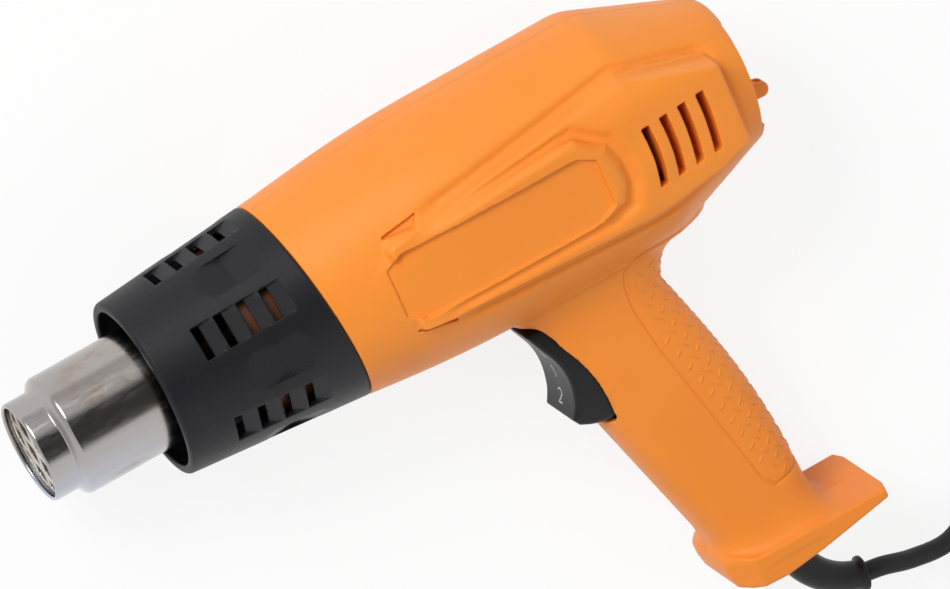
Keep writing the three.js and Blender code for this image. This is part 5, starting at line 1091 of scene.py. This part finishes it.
def heat_guard(x, y, z):
    rho, angle = np.hypot(y, z), np.arctan2(z, y)
    outer = guard_radius(x)
    thumb = thumb_recess(x, rho, angle)
    d = smax(rho - outer, GUARD_START - x, GUARD_NOSE)
    cavity = np.maximum(rho - outer + GUARD_WALL + share(x, LIP_START, LIP_END), THUMB_SKIN - thumb)
    d = smax(d, -cavity, GUARD_HOLLOW_EASE)
    folded = angle - SIXTH * np.round(angle / SIXTH)
    up, across = rho * np.cos(folded), np.abs(rho * np.sin(folded))
    upright = np.abs(up - outer + RIB_DEPTH / 2 + 1) - RIB_DEPTH / 2
    beside = np.abs(across - SLOT_HALF - RIB_OFFSET) - RIB_HALF
    d = smin(d, both(beside, upright, np.abs(x - RIB_MIDDLE) - RIB_LENGTH / 2), RIB_JOIN)
    for i in range(SLOT_COUNT):
        start = SLOT_START + SLOT_PITCH * i
        end = start + SLOT_LENGTH
        hole = both(between(x, start, end), outer - 2 * GUARD_WALL - up)
        floor = guard_radius(end) - RAMP_DEPTH + (x - end) * RAMP_RISE / SLOT_RAMP
        ramp = both(between(x, start, end + SLOT_RAMP), (floor - up) * RAMP_LEAN)
        d = smax(d, -np.maximum(np.minimum(hole, ramp), across - SLOT_HALF), SLOT_EASE)
    d = smax(d, -thumb, THUMB_EASE)
    return smax(d, joint_distance(x, y), SHOULDER_EASE)


GUARD_LOW, GUARD_HIGH = (41.5, -38, -38), (108, 38, 38)
from_field(
    "heat_guard_moulding", heat_guard, GUARD_LOW, GUARD_HIGH, STEP * 0.8,
    BLACK, "housing", "black_plastic", ["heat_guard"],
)

# Rocker, with sides that bow out to its pins
FACE = [(-18.2, 18.4), (-15.4, 12.4), (-12.1, 5), (-11.1, -2), (-12.4, -10), (-14.8, -15)]
REAR = [(-13.2, -17.6), (-9, -19.7), (-4.6, -20.9), (0, -21.0), (4, -16.6)]
REAR += [(6, 0), (4, 12), (-2, 17.6), (-10, 19.2)]
face_curve = [tuple(p) for p in catmull_rom(FACE, 5)] + [FACE[-1]]
rear_curve = [tuple(p) for p in catmull_rom(REAR, 4)] + [REAR[-1]]
ROCKER_OUTLINE = [(PIVOT[0] + a, PIVOT[1] + b) for a, b in face_curve + rear_curve]
ROCKER_EASE, ROCKER_STEP = 1.7, 0.45
ROCKER_LOW, ROCKER_HIGH = (160, -86, -15.2), (188, -43.5, 15.2)


def rocker(x, y, z):
    side = np.abs(z)
    d = smax(outline_distance(x, y, ROCKER_OUTLINE), side - rocker_half(y), ROCKER_EASE)
    pin = np.maximum(np.hypot(x - PIVOT[0], y - PIVOT[1]) - ROCKER_PIN, side - ROCKER_PIN_REACH)
    return np.minimum(d, pin)


from_field(
    "rocker_moulding", rocker, ROCKER_LOW, ROCKER_HIGH, ROCKER_STEP,
    ROCKER_BLACK, "rocker", "black_plastic", ["switch_rocker"],
)

# Printed figures on the rocker's face
FIGURE_WIDTH, FIGURE_PROUD, FIGURE_SINK = 0.62, 0.05, 0.25
FIGURE_HALF, FIGURE_TOP = 1.45, 2.3
FIGURE_PLACES = [-57.3, -65.3, -73.8]


def face_x(y):
    line = np.array(sorted((b, a) for a, b in face_curve))
    return PIVOT[0] + np.interp(y - PIVOT[1], line[:, 0], line[:, 1])


def figure_strokes():
    turns = np.linspace(0, 2 * math.pi, 28, endpoint=False)
    nought = [(FIGURE_HALF * math.sin(t), FIGURE_TOP * math.cos(t)) for t in turns]
    one = [(-1.0, 1.25), (-0.45, 1.75), *[(0.15, y) for y in (FIGURE_TOP, 1.0, 0, -1.2, -FIGURE_TOP)]]
    bow = [(1.35 * math.cos(t), 1.0 + 1.3 * math.sin(t)) for t in np.radians(np.linspace(165, -35, 14))]
    two = [*bow, (0.2, -0.9), (-0.7, -1.7), *[(x, -FIGURE_TOP) for x in (-1.4, -0.4, 0.6, FIGURE_HALF)]]
    return [(nought, True), (one, False), (two, False)]


def make_figures():
    points, faces = [], []
    for (path, closed), middle in zip(figure_strokes(), FIGURE_PLACES):
        path = np.array(path)
        ahead, behind = np.roll(path, -1, 0), np.roll(path, 1, 0)
        if not closed:
            ahead[-1], behind[0] = path[-1], path[0]
        tangent = ahead - behind
        tangent /= np.linalg.norm(tangent, axis=1, keepdims=True)
        side = np.stack([-tangent[:, 1], tangent[:, 0]], 1) * FIGURE_WIDTH / 2
        first = len(points)
        for p, s in zip(path, side):
            for sign, lift in ((1, FIGURE_PROUD), (-1, FIGURE_PROUD), (-1, -FIGURE_SINK), (1, -FIGURE_SINK)):
                z, y = p + sign * s
                points.append((face_x(middle + y) - lift, middle + y, z))
        count = len(path)
        for i in range(count if closed else count - 1):
            a, b = first + 4 * i, first + 4 * ((i + 1) % count)
            for k in range(4):
                faces.append((a + k, a + (k + 1) % 4, b + (k + 1) % 4, b + k))
        if not closed:
            last = first + 4 * (count - 1)
            faces.append(tuple(first + k for k in (3, 2, 1, 0)))
            faces.append(tuple(last + k for k in range(4)))
    add_mesh("rocker_figures", points, faces, FIGURE_WHITE, "rocker", None, smooth=False)


make_figures()

# Rear cap: a slotted disc in the leaning rear plane, with a hanging lug
CAP_RADIUS, CAP_PROUD, CAP_DOME, CAP_EASE = 18.3, 2.4, 0.9, 1.6
CAP_FLANGE_REAR, CAP_FLANGE = -2.9, 1.6
CAP_RING_INSET, CAP_RING_HALF, CAP_RING_DEPTH = 1.7, 0.25, 1.2
CAP_SLOTS, CAP_SLOT_PITCH, CAP_SLOT_HALF, CAP_SLOT_CORNER, CAP_RIM = 5, 6.2, 1.5, 0.8, 3.0
CAP_FINE_EASE, CAP_SLOT_EASE = 0.3, 0.5
LUG_Y, LUG_HALF_HEIGHT, LUG_FLARE, LUG_END, LUG_HALF_WIDTH, LUG_HOLE = -13.0, 2.7, 3.0, 11.4, 3.0, 1.5
LUG_EASE, LUG_JOIN, LUG_HOLE_REACH = 1.2, 1.0, 6.0


def cap_slots(up, out):
    """Rows of slots on both sides of the lug's web."""
    d = np.full(up.shape, np.inf)
    inner = LUG_HALF_WIDTH + 1
    for i in range(CAP_SLOTS):
        middle = (i - (CAP_SLOTS - 1) / 2) * CAP_SLOT_PITCH
        outer = math.sqrt((CAP_RADIUS - CAP_RIM) ** 2 - (abs(middle) + CAP_SLOT_HALF) ** 2)
        wide, high = between(out, inner, outer), np.abs(up - middle) - CAP_SLOT_HALF
        d = np.minimum(d, rounded_box(wide, high, CAP_SLOT_CORNER))
    return d


def rear_cap(x, y, z):
    along, up, out = stand_distance(x, y), stand_height(x, y), np.abs(z)
    rho = np.hypot(up, z)
    front = CAP_FLANGE_REAR - CAP_FLANGE
    dome = along - CAP_PROUD + CAP_DOME * (rho / CAP_RADIUS) ** 2
    d = smax(smax(rho - CAP_RADIUS, dome, CAP_EASE), front - along, CAP_FINE_EASE)
    d = np.minimum(d, both(rho - CAP_RADIUS - FIT - CAP_FLANGE, between(along, front, CAP_FLANGE_REAR)))
    ring = np.abs(rho - CAP_RADIUS + CAP_RING_INSET) - CAP_RING_HALF
    d = smax(d, -np.maximum(ring, CAP_PROUD - CAP_RING_DEPTH - along), CAP_FINE_EASE)
    d = smax(d, -cap_slots(up, out), CAP_SLOT_EASE)
    tip, low, high = LUG_END - LUG_HALF_HEIGHT, LUG_Y - LUG_HALF_HEIGHT, LUG_Y + LUG_HALF_HEIGHT
    web = outline_distance(along, up, [(-1, high + LUG_FLARE), (tip, high), (tip, low), (-1, low)])
    lug = np.minimum(web, np.hypot(along - tip, up - LUG_Y) - LUG_HALF_HEIGHT)
    lug = smax(lug, out - LUG_HALF_WIDTH, LUG_EASE)
    d = smin(d, np.maximum(lug, front - along), LUG_JOIN)
    past = np.maximum(np.abs(up - LUG_Y) - LUG_HOLE_REACH, 0)
    return smax(d, LUG_HOLE - np.hypot(along - tip, z) - past, CUT_EASE)


CAP_LOW, CAP_HIGH = (252, -21.5, -21), (275, 21.5, 21)
from_field(
    "rear_cap_moulding", rear_cap, CAP_LOW, CAP_HIGH, STEP * 0.7,
    ORANGE, "housing", "orange_plastic", ["rear_cap"],
)


# Turned pieces
def rounded_profile(corners, radius, steps=4):
    """Profile points and their normals, with each inner corner rounded off."""
    p = [np.array(c, float) for c in corners]
    normal = []
    for a, b in zip(p, p[1:]):
        e = (b - a) / np.linalg.norm(b - a)
        normal.append(np.array((-e[1], e[0])))
    out = [(p[0], normal[0])]
    for i in range(1, len(p) - 1):
        back, ahead = p[i - 1] - p[i], p[i + 1] - p[i]
        cut_back = min(radius, 0.45 * np.linalg.norm(back)) * back / np.linalg.norm(back)
        cut_ahead = min(radius, 0.45 * np.linalg.norm(ahead)) * ahead / np.linalg.norm(ahead)
        for s in np.linspace(0, 1, steps + 1):
            place = p[i] + (1 - s) ** 2 * cut_back + s**2 * cut_ahead
            lean = (1 - s) * normal[i - 1] + s * normal[i]
            out.append((place, lean / max(np.linalg.norm(lean), 1e-6)))
    out.append((p[-1], normal[-1]))
    return out


def lathe(profile, sides):
    """Points, faces and normals of a profile turned round the barrel's axis."""
    points, normals, faces = [], [], []
    for (x, r), (nx, nr) in profile:
        for i in range(sides):
            turn = 2 * math.pi * i / sides
            points.append((x, r * math.cos(turn), r * math.sin(turn)))
            normals.append((nx, nr * math.cos(turn), nr * math.sin(turn)))
    for i in range(len(profile) - 1):
        for j in range(sides):
            a, b = i * sides + j, i * sides + (j + 1) % sides
            faces.append((a, b, b + sides, a + sides))
    return points, faces, np.array(normals)


TIP_RADIUS, TIP_LENGTH, STEP_LENGTH, TUBE_RADIUS, TUBE_WALL = 17.5, 9.0, 3.0, 20.8, 0.8
TUBE_BORE, TIP_BORE, TUBE_BORE_START = TUBE_RADIUS - TUBE_WALL, TIP_RADIUS - TUBE_WALL, 30.0
TUBE_CORNER = 0.5
TUBE_SIDES = 160
NOZZLE = [
    (TUBE_BORE_START, TUBE_BORE),
    (TIP_LENGTH + STEP_LENGTH + TUBE_WALL, TUBE_BORE),
    (TIP_LENGTH + TUBE_WALL, TIP_BORE),
    (1.6, TIP_BORE),
    (0.8, TIP_RADIUS - 1.6),
    (0, TIP_RADIUS - 1.2),
    (0, TIP_RADIUS - 0.4),
    (0.8, TIP_RADIUS),
    (TIP_LENGTH, TIP_RADIUS),
    (TIP_LENGTH + 1.8, TUBE_RADIUS - 0.6),
    (TIP_LENGTH + STEP_LENGTH, TUBE_RADIUS),
    (FLANGE_START - 2, TUBE_RADIUS),
    (FLANGE_START, TUBE_RADIUS + 2),
    (FLANGE_START, FLANGE_RADIUS),
    (FLANGE_END, FLANGE_RADIUS),
    (FLANGE_END, TUBE_BORE),
    (TUBE_BORE_START, TUBE_BORE),
]
tube_points, tube_faces, tube_normals = lathe(rounded_profile(NOZZLE, TUBE_CORNER), TUBE_SIDES)
add_mesh(
    "outlet_tube", tube_points, tube_faces, OUTLET_STEEL, "housing", "outlet_steel", ["nozzle_tube"],
    normals=tube_normals,
)

# Outlet lattice: slanted bars crossing others inside a rim
GRILLE_START, GRILLE_END, GRILLE_RIM, GRILLE_RIM_HALF = 2.2, 4.0, 16.4, 0.8
GRILLE_PITCH, GRILLE_BAR, GRILLE_CROSSING, GRILLE_EASE = 8.6, 1.9, 0.5, 0.6
GRILLE_ANGLES = (math.radians(28), math.radians(28) + math.pi / 2.6)
GRILLE_STEP = 0.3
GRILLE_LOW, GRILLE_HIGH = (1.8, -17, -17), (4.5, 17, 17)


def grille(x, y, z):
    rho = np.hypot(y, z)
    bars = np.full(x.shape, GRILLE_PITCH)
    for angle in GRILLE_ANGLES:
        across = y * math.cos(angle) + z * math.sin(angle)
        across = across - GRILLE_PITCH * np.round(across / GRILLE_PITCH)
        bars = smin(bars, np.abs(across) - GRILLE_BAR / 2, GRILLE_CROSSING)
    rim = np.abs(rho - GRILLE_RIM + GRILLE_RIM_HALF) - GRILLE_RIM_HALF
    d = smin(np.maximum(bars, rho - GRILLE_RIM), rim, GRILLE_EASE)
    return smax(d, between(x, GRILLE_START, GRILLE_END), GRILLE_EASE)


from_field(
    "outlet_lattice", grille, GRILLE_LOW, GRILLE_HIGH, GRILLE_STEP,
    GRILLE_STEEL, "housing", "outlet_steel", ["nozzle_grille"],
)


# Boot round the lead, bent to the rear and ending in a rolled rim
def rings_mesh(rings):
    """Points and faces of a row of closed rings, capped at both ends."""
    sides = len(rings[0])
    faces = []
    for i in range(len(rings) - 1):
        for j in range(sides):
            a, b = i * sides + j, i * sides + (j + 1) % sides
            faces.append((a, b, b + sides, a + sides))
    last = (len(rings) - 1) * sides
    faces.append(tuple(reversed(range(sides))))
    faces.append(tuple(last + j for j in range(sides)))
    return [p for ring in rings for p in ring], faces


BOOT_RADIUS, BOOT_END_RADIUS, BOOT_RIM_RADIUS, BOOT_RIM_LENGTH = 6.0, 4.9, 6.1, 2.4
BOOT_HEAD = ((2, 4), (2, 7.6), (1.7, 8), (0.2, 8), (0, 7.8), (0, 6.3))
BOOT_MOUTH = ((0, 4.0), (-0.25, 3.5), (-2, 3.4))
BOOT_MOUTH_DRAW = 0.3
BOOT_SIDES = 40


def boot_ring(tilt, past, radius):
    """Ring round the boot's bent axis, or past either end of the bend."""
    cx, cy = boot_axis(tilt, past)
    ring = []
    for turn in 2 * math.pi * np.arange(BOOT_SIDES) / BOOT_SIDES:
        across = radius * math.cos(turn)
        ring.append((cx + across * math.cos(tilt), cy + across * math.sin(tilt), radius * math.sin(turn)))
    return ring


def make_boot():
    rise = FOOT_FLOOR - FOOT_UNDER + FIT
    rings = [boot_ring(0, -rise - past, r) for past, r in BOOT_HEAD]
    rings += [boot_ring(0, -rise * s, BOOT_RADIUS) for s in (0.95, 0.6, 0.3, 0)]
    rim_turn = BOOT_RIM_LENGTH / BOOT_BEND
    for s in np.linspace(0.04, 1, 26):
        rings.append(boot_ring(s * (BOOT_TURN - rim_turn), 0, blend(BOOT_RADIUS, BOOT_END_RADIUS, s)))
    for s in np.linspace(0.06, 1, 12):
        bead = math.sqrt(max(1 - (2 * s - 1) ** 4, 0))
        radius = blend(BOOT_END_RADIUS - BOOT_MOUTH_DRAW * s, BOOT_RIM_RADIUS, bead)
        rings.append(boot_ring(BOOT_TURN - rim_turn * (1 - s), 0, radius))
    rings += [boot_ring(BOOT_TURN, past, r) for past, r in BOOT_MOUTH]
    add_mesh("cord_boot", *rings_mesh(rings), BOOT, "housing", "black_rubber", ["strain_relief"])


make_boot()

# Plug: ribbed neck, waisted body with thumb hollows, and a face round the pins
PLUG_NECK, PLUG_LENGTH, PLUG_HALF_WIDTH, PLUG_NECK_RADIUS = 16.0, 34.0, 17.5, 5.4
PLUG_HALF_HEIGHT = CORD_HEIGHT + COIL_RISE
PLUG_EDGE = 1.5
PLUG_STATIONS = [
    (0, PLUG_NECK_RADIUS * 0.85, PLUG_NECK_RADIUS * 0.85),
    (PLUG_NECK * 0.7, PLUG_NECK_RADIUS, PLUG_NECK_RADIUS),
    (PLUG_NECK, PLUG_NECK_RADIUS * 1.5, PLUG_NECK_RADIUS * 1.3),
    (PLUG_NECK + PLUG_LENGTH * 0.25, PLUG_HALF_WIDTH * 0.9, PLUG_HALF_HEIGHT * 0.95),
    (PLUG_NECK + PLUG_LENGTH * 0.5, PLUG_HALF_WIDTH, PLUG_HALF_HEIGHT),
    (PLUG_NECK + PLUG_LENGTH - PLUG_EDGE, PLUG_HALF_WIDTH, PLUG_HALF_HEIGHT),
    (PLUG_NECK + PLUG_LENGTH, PLUG_HALF_WIDTH - PLUG_EDGE, PLUG_HALF_HEIGHT - PLUG_EDGE),
]
PLUG_RIBS_END, PLUG_RIB, PLUG_RIB_PITCH = PLUG_NECK * 0.78, 0.75, 2.6
PLUG_THUMB, PLUG_THUMB_PLACE, PLUG_THUMB_LENGTH, PLUG_THUMB_HALF = 1.3, PLUG_NECK + 19, 7.0, 11.0
PLUG_FACE = ((0.86, 0.0), (0.84, 0.5), (0.2, 0.5))
PLUG_SIDES, PLUG_STEPS = 64, 12


def plug_ring(end, x, width, height):
    rib = 0.0
    if x < PLUG_RIBS_END:
        rib = PLUG_RIB * (0.5 - 0.5 * math.cos(2 * math.pi * x / PLUG_RIB_PITCH))
    hollow = PLUG_THUMB * math.exp(-(((x - PLUG_THUMB_PLACE) / PLUG_THUMB_LENGTH) ** 2))
    width, height = min(width, PLUG_HALF_WIDTH) - rib, min(height, PLUG_HALF_HEIGHT) - rib
    ring = []
    for turn in 2 * math.pi * np.arange(PLUG_SIDES) / PLUG_SIDES:
        c, s = math.cos(turn), math.sin(turn)
        y = width * math.copysign(abs(c) ** (2 / ROUNDNESS), c)
        z = height * math.copysign(abs(s) ** (2 / ROUNDNESS), s)
        z -= math.copysign(hollow * max(0, 1 - (y / PLUG_THUMB_HALF) ** 2), z)
        ring.append((end[0] - x, end[1] - y, end[2] + z))
    return ring


def make_plug():
    end = np.array(coil_point(COIL_LAST)) - (FIT, 0, 0)
    stations = [*catmull_rom(PLUG_STATIONS, PLUG_STEPS), PLUG_STATIONS[-1]]
    rings = [plug_ring(end, *station) for station in stations]
    face = np.array(rings[-1])
    middle = face.mean(0)
    for shrink, sink in PLUG_FACE:
        rings.append([tuple(middle + (p - middle) * shrink + (sink, 0, 0)) for p in face])
    points, faces = rings_mesh(rings)
    place = np.array(points) / 1000
    add_mesh("plug_moulding", place, faces, BOOT, "housing", "black_rubber", ["plug_body"], world=True)


make_plug()

# Tie: a flat band with a raised border, round the coil's section
TIE_HALF = TIE_WIDTH / 2
TIE_SIDE = [(TIE_HALF - 0.2, 0), (TIE_HALF, 0.1), (TIE_HALF, 0.65), (TIE_HALF - 0.3, TIE_THICKNESS)]
TIE_SIDE += [(TIE_HALF - 1.1, 0.66)]
TIE_SECTION = TIE_SIDE + [(0, 0.62)] + [(-across, lift) for across, lift in reversed(TIE_SIDE)]


def make_tie():
    half = CORD_RADIUS + TIE_SLACK
    bend = half - 0.2
    near, far = COIL_INNER - half + bend, COIL_OUTER + half - bend
    low, high = TIE_THICKNESS + bend, CORD_HEIGHT + COIL_RISE + half - bend
    c, s = math.cos(TIE_ANGLE), math.sin(TIE_ANGLE)
    rings = []
    for cx, cz, start in ((far, high, 0), (near, high, 90), (near, low, 180), (far, low, 270)):
        for turn in np.radians(np.linspace(start, start + 90, 9)):
            ring = []
            for across, lift in TIE_SECTION:
                radial, z = cx + math.cos(turn) * (bend + lift), cz + math.sin(turn) * (bend + lift)
                x, y = radial * c - across * s, radial * s + across * c
                ring.append((COIL_CENTRE[0] + x, COIL_CENTRE[1] + y, z))
            rings.append(ring)
    count, width = len(rings), len(TIE_SECTION)
    faces = []
    for i in range(count):
        a, b = i * width, ((i + 1) % count) * width
        for k in range(width):
            ahead = (k + 1) % width
            faces.append((a + k, a + ahead, b + ahead, b + k))
    points = np.array(rings).reshape(-1, 3) / 1000
    add_mesh("cord_band", points, faces, TIE, "housing", "tie_black", ["cord_tie"], world=True, smooth=False)


make_tie()

# Shell screws with a cross recess and a thread
SCREW_SEAT, SCREW_HEAD, SCREW_HEAD_RADIUS, SCREW_SHANK, SCREW_END = -8.3, 2.2, 3.0, 1.5, 10.0
SCREW_DOME, SCREW_HEAD_EASE, SCREW_SEAT_EASE = 0.5, 0.7, 0.2
CROSS_HALF, CROSS_REACH, CROSS_DEPTH, CROSS_EASE = 0.42, 1.9, 1.5, 0.15
THREAD_PITCH, THREAD_DEPTH = 1.25, 0.35
SCREW_LOW, SCREW_HIGH = (-3.3, -3.3, -10.8), (3.3, 3.3, 10.3)
SCREW_STEP = 0.2


def screw(x, y, z):
    rho, a, b = np.hypot(x, y), np.abs(x), np.abs(y)
    top = SCREW_SEAT - SCREW_HEAD
    dome = top + SCREW_DOME * (rho / SCREW_HEAD_RADIUS) ** 2 - z
    head = smax(smax(rho - SCREW_HEAD_RADIUS, dome, SCREW_HEAD_EASE), z - SCREW_SEAT, SCREW_SEAT_EASE)
    arms = either(both(a - CROSS_HALF, b - CROSS_REACH), both(b - CROSS_HALF, a - CROSS_REACH))
    head = smax(head, -np.maximum(arms, z - top - CROSS_DEPTH + 0.5 * rho), CROSS_EASE)
    thread = (z / THREAD_PITCH - np.arctan2(y, x) / (2 * math.pi)) % 1.0
    shank = rho - SCREW_SHANK + THREAD_DEPTH * np.abs(2 * thread - 1)
    return np.minimum(head, both(shank, SCREW_SEAT - 0.5 - z, z - SCREW_END + rho))


screw_points, screw_faces, screw_normals = surface(screw, SCREW_LOW, SCREW_HIGH, SCREW_STEP)
for number, (sx, sy) in enumerate(SCREWS, 1):
    add_mesh(
        f"screw_{number}", screw_points + (sx, sy, 0), screw_faces, ZINC,
        "housing", "zinc_steel", [f"shell_screw_{number}"], screw_normals,
    )

# Pieces kept from the solids: edges are eased by so many millimetres, wound and bent wires are rounded
EASED = [
    (MICA, 0.2, ["mica_sleeve", "heater_former"]),
    (CERAMIC, 0.3, ["heater_base"]),
    (ZINC, 0.2, ["thermal_cutout", "motor_shaft", "clamp_screw_1", "clamp_screw_2"]),
    (ZINC, 0.3, ["motor_can"]),
    (INNER, 0.25, ["fan_impeller"]),
    (INNER, 0.3, ["motor_bracket", "motor_endcap"]),
    (INNER, 0.4, ["switch_body", "cable_clamp"]),
    (BOARD, 0.15, ["rectifier_board"]),
    (CAPACITOR, 0.6, ["capacitor"]),
    (CORD, 0.3, ["cord_tail"]),
    (BRASS, 0.6, ["plug_pin_1", "plug_pin_2"]),
]
ROUNDED = [
    (HEATER_WIRE, ["heating_coil"]),
    (WIRE_BROWN, ["wire_supply_1", "wire_heater_1", "wire_motor_1"]),
    (WIRE_BLUE, ["wire_supply_2", "wire_heater_2", "wire_motor_2"]),
]
EDGE_ANGLE = math.radians(40)


def dress(node, coat):
    obj = bpy.data.objects[node]
    obj.data.materials.clear()
    obj.data.materials.append(coat)
    return obj.modifiers


for coat, edge, nodes in EASED:
    for node in nodes:
        bevel = dress(node, coat).new("edge", "BEVEL")
        bevel.width = edge / 1000
        bevel.segments = 2
        bevel.limit_method = "ANGLE"
        bevel.angle_limit = EDGE_ANGLE
for coat, nodes in ROUNDED:
    for node in nodes:
        smooth = dress(node, coat).new("round", "SUBSURF")
        smooth.levels = smooth.render_levels = 1

# Floor, light and world: a white surround with a dark gap overhead that only reflections show
GAP_LEAN, GAP_EDGE, GAP_DARK = math.radians(13), (0.80, 0.91), 0.08
SIDE_SPAN, SIDE_DIM = (-0.5, 0.6), 0.66
WORLD_LEVEL = 0.44
FLOOR_HALF, FLOOR_GLOW = 30, 0.85
WHITE, FLOOR_WHITE = (1, 1, 1), (0.93, 0.93, 0.93)
LIGHT_AIM = Vector((0, 0, 0.03))


def make_floor():
    h = FLOOR_HALF
    mesh = bpy.data.meshes.new("floor")
    mesh.from_pydata([(-h, -h, 0), (h, -h, 0), (h, h, 0), (-h, h, 0)], [], [(0, 1, 2, 3)])
    floor = bpy.data.objects.new("floor", mesh)
    scene.collection.objects.link(floor)
    n = new_material("floor_white")
    n.set(Base_Color=FLOOR_WHITE, Roughness=0.9)
    ray = n.add("ShaderNodeLightPath").outputs
    bounced = n.math("MAXIMUM", ray["Is Glossy Ray"], ray["Is Transmission Ray"])
    seen = n.math("MAXIMUM", ray["Is Camera Ray"], bounced)
    glow = n.add("ShaderNodeEmission", {"Color": WHITE}).outputs[0]
    mixed = n.add("ShaderNodeMixShader", {0: n.times(seen, FLOOR_GLOW), 1: n.shader.outputs[0], 2: glow})
    n.put(n.tree.nodes["Material Output"].inputs["Surface"], mixed.outputs[0])
    mesh.materials.append(n.owner)


def make_world():
    n = Nodes(bpy.data.worlds.new("studio"), "Background", "Generated")
    scene.world = n.owner
    lean = direction((0, math.sin(GAP_LEAN), math.cos(GAP_LEAN)))
    overhead = n.add("ShaderNodeVectorMath", {0: n.place, 1: lean}, operation="DOT_PRODUCT").outputs["Value"]
    gap = n.span(overhead, *GAP_EDGE, 1.0, GAP_DARK)
    sides = n.span(n.axes(n.place)["Y"], *SIDE_SPAN, 1.0, SIDE_DIM, "LINEAR")
    ray = n.add("ShaderNodeLightPath").outputs
    seen = n.math("MAXIMUM", ray["Is Camera Ray"], ray["Is Transmission Ray"])
    lit = n.span(seen, 0, 1, WORLD_LEVEL, 1.0, "LINEAR")
    n.set(Color=WHITE, Strength=n.span(ray["Is Glossy Ray"], 0, 1, lit, n.times(gap, sides), "LINEAR"))


def area_light(name, place, size, power, mirrored=False):
    data = bpy.data.lights.new(name, "AREA")
    data.shape = "DISK"
    data.size = size
    data.energy = power
    light = bpy.data.objects.new(name, data)
    light.location = place
    light.rotation_mode = "QUATERNION"
    light.rotation_quaternion = (LIGHT_AIM - Vector(place)).to_track_quat("-Z", "Y")
    light.visible_camera = False
    light.visible_glossy = mirrored
    light.visible_diffuse = not mirrored
    scene.collection.objects.link(light)


make_floor()
make_world()
area_light("key", (-0.9, 1.3, 1.5), 1.0, 31)
area_light("fill", (1.2, -0.9, 1.6), 1.5, 6)
area_light("sheen", (-0.5, 1.8, 1.3), 1.2, 18, mirrored=True)
scene.view_settings.view_transform = "Standard"
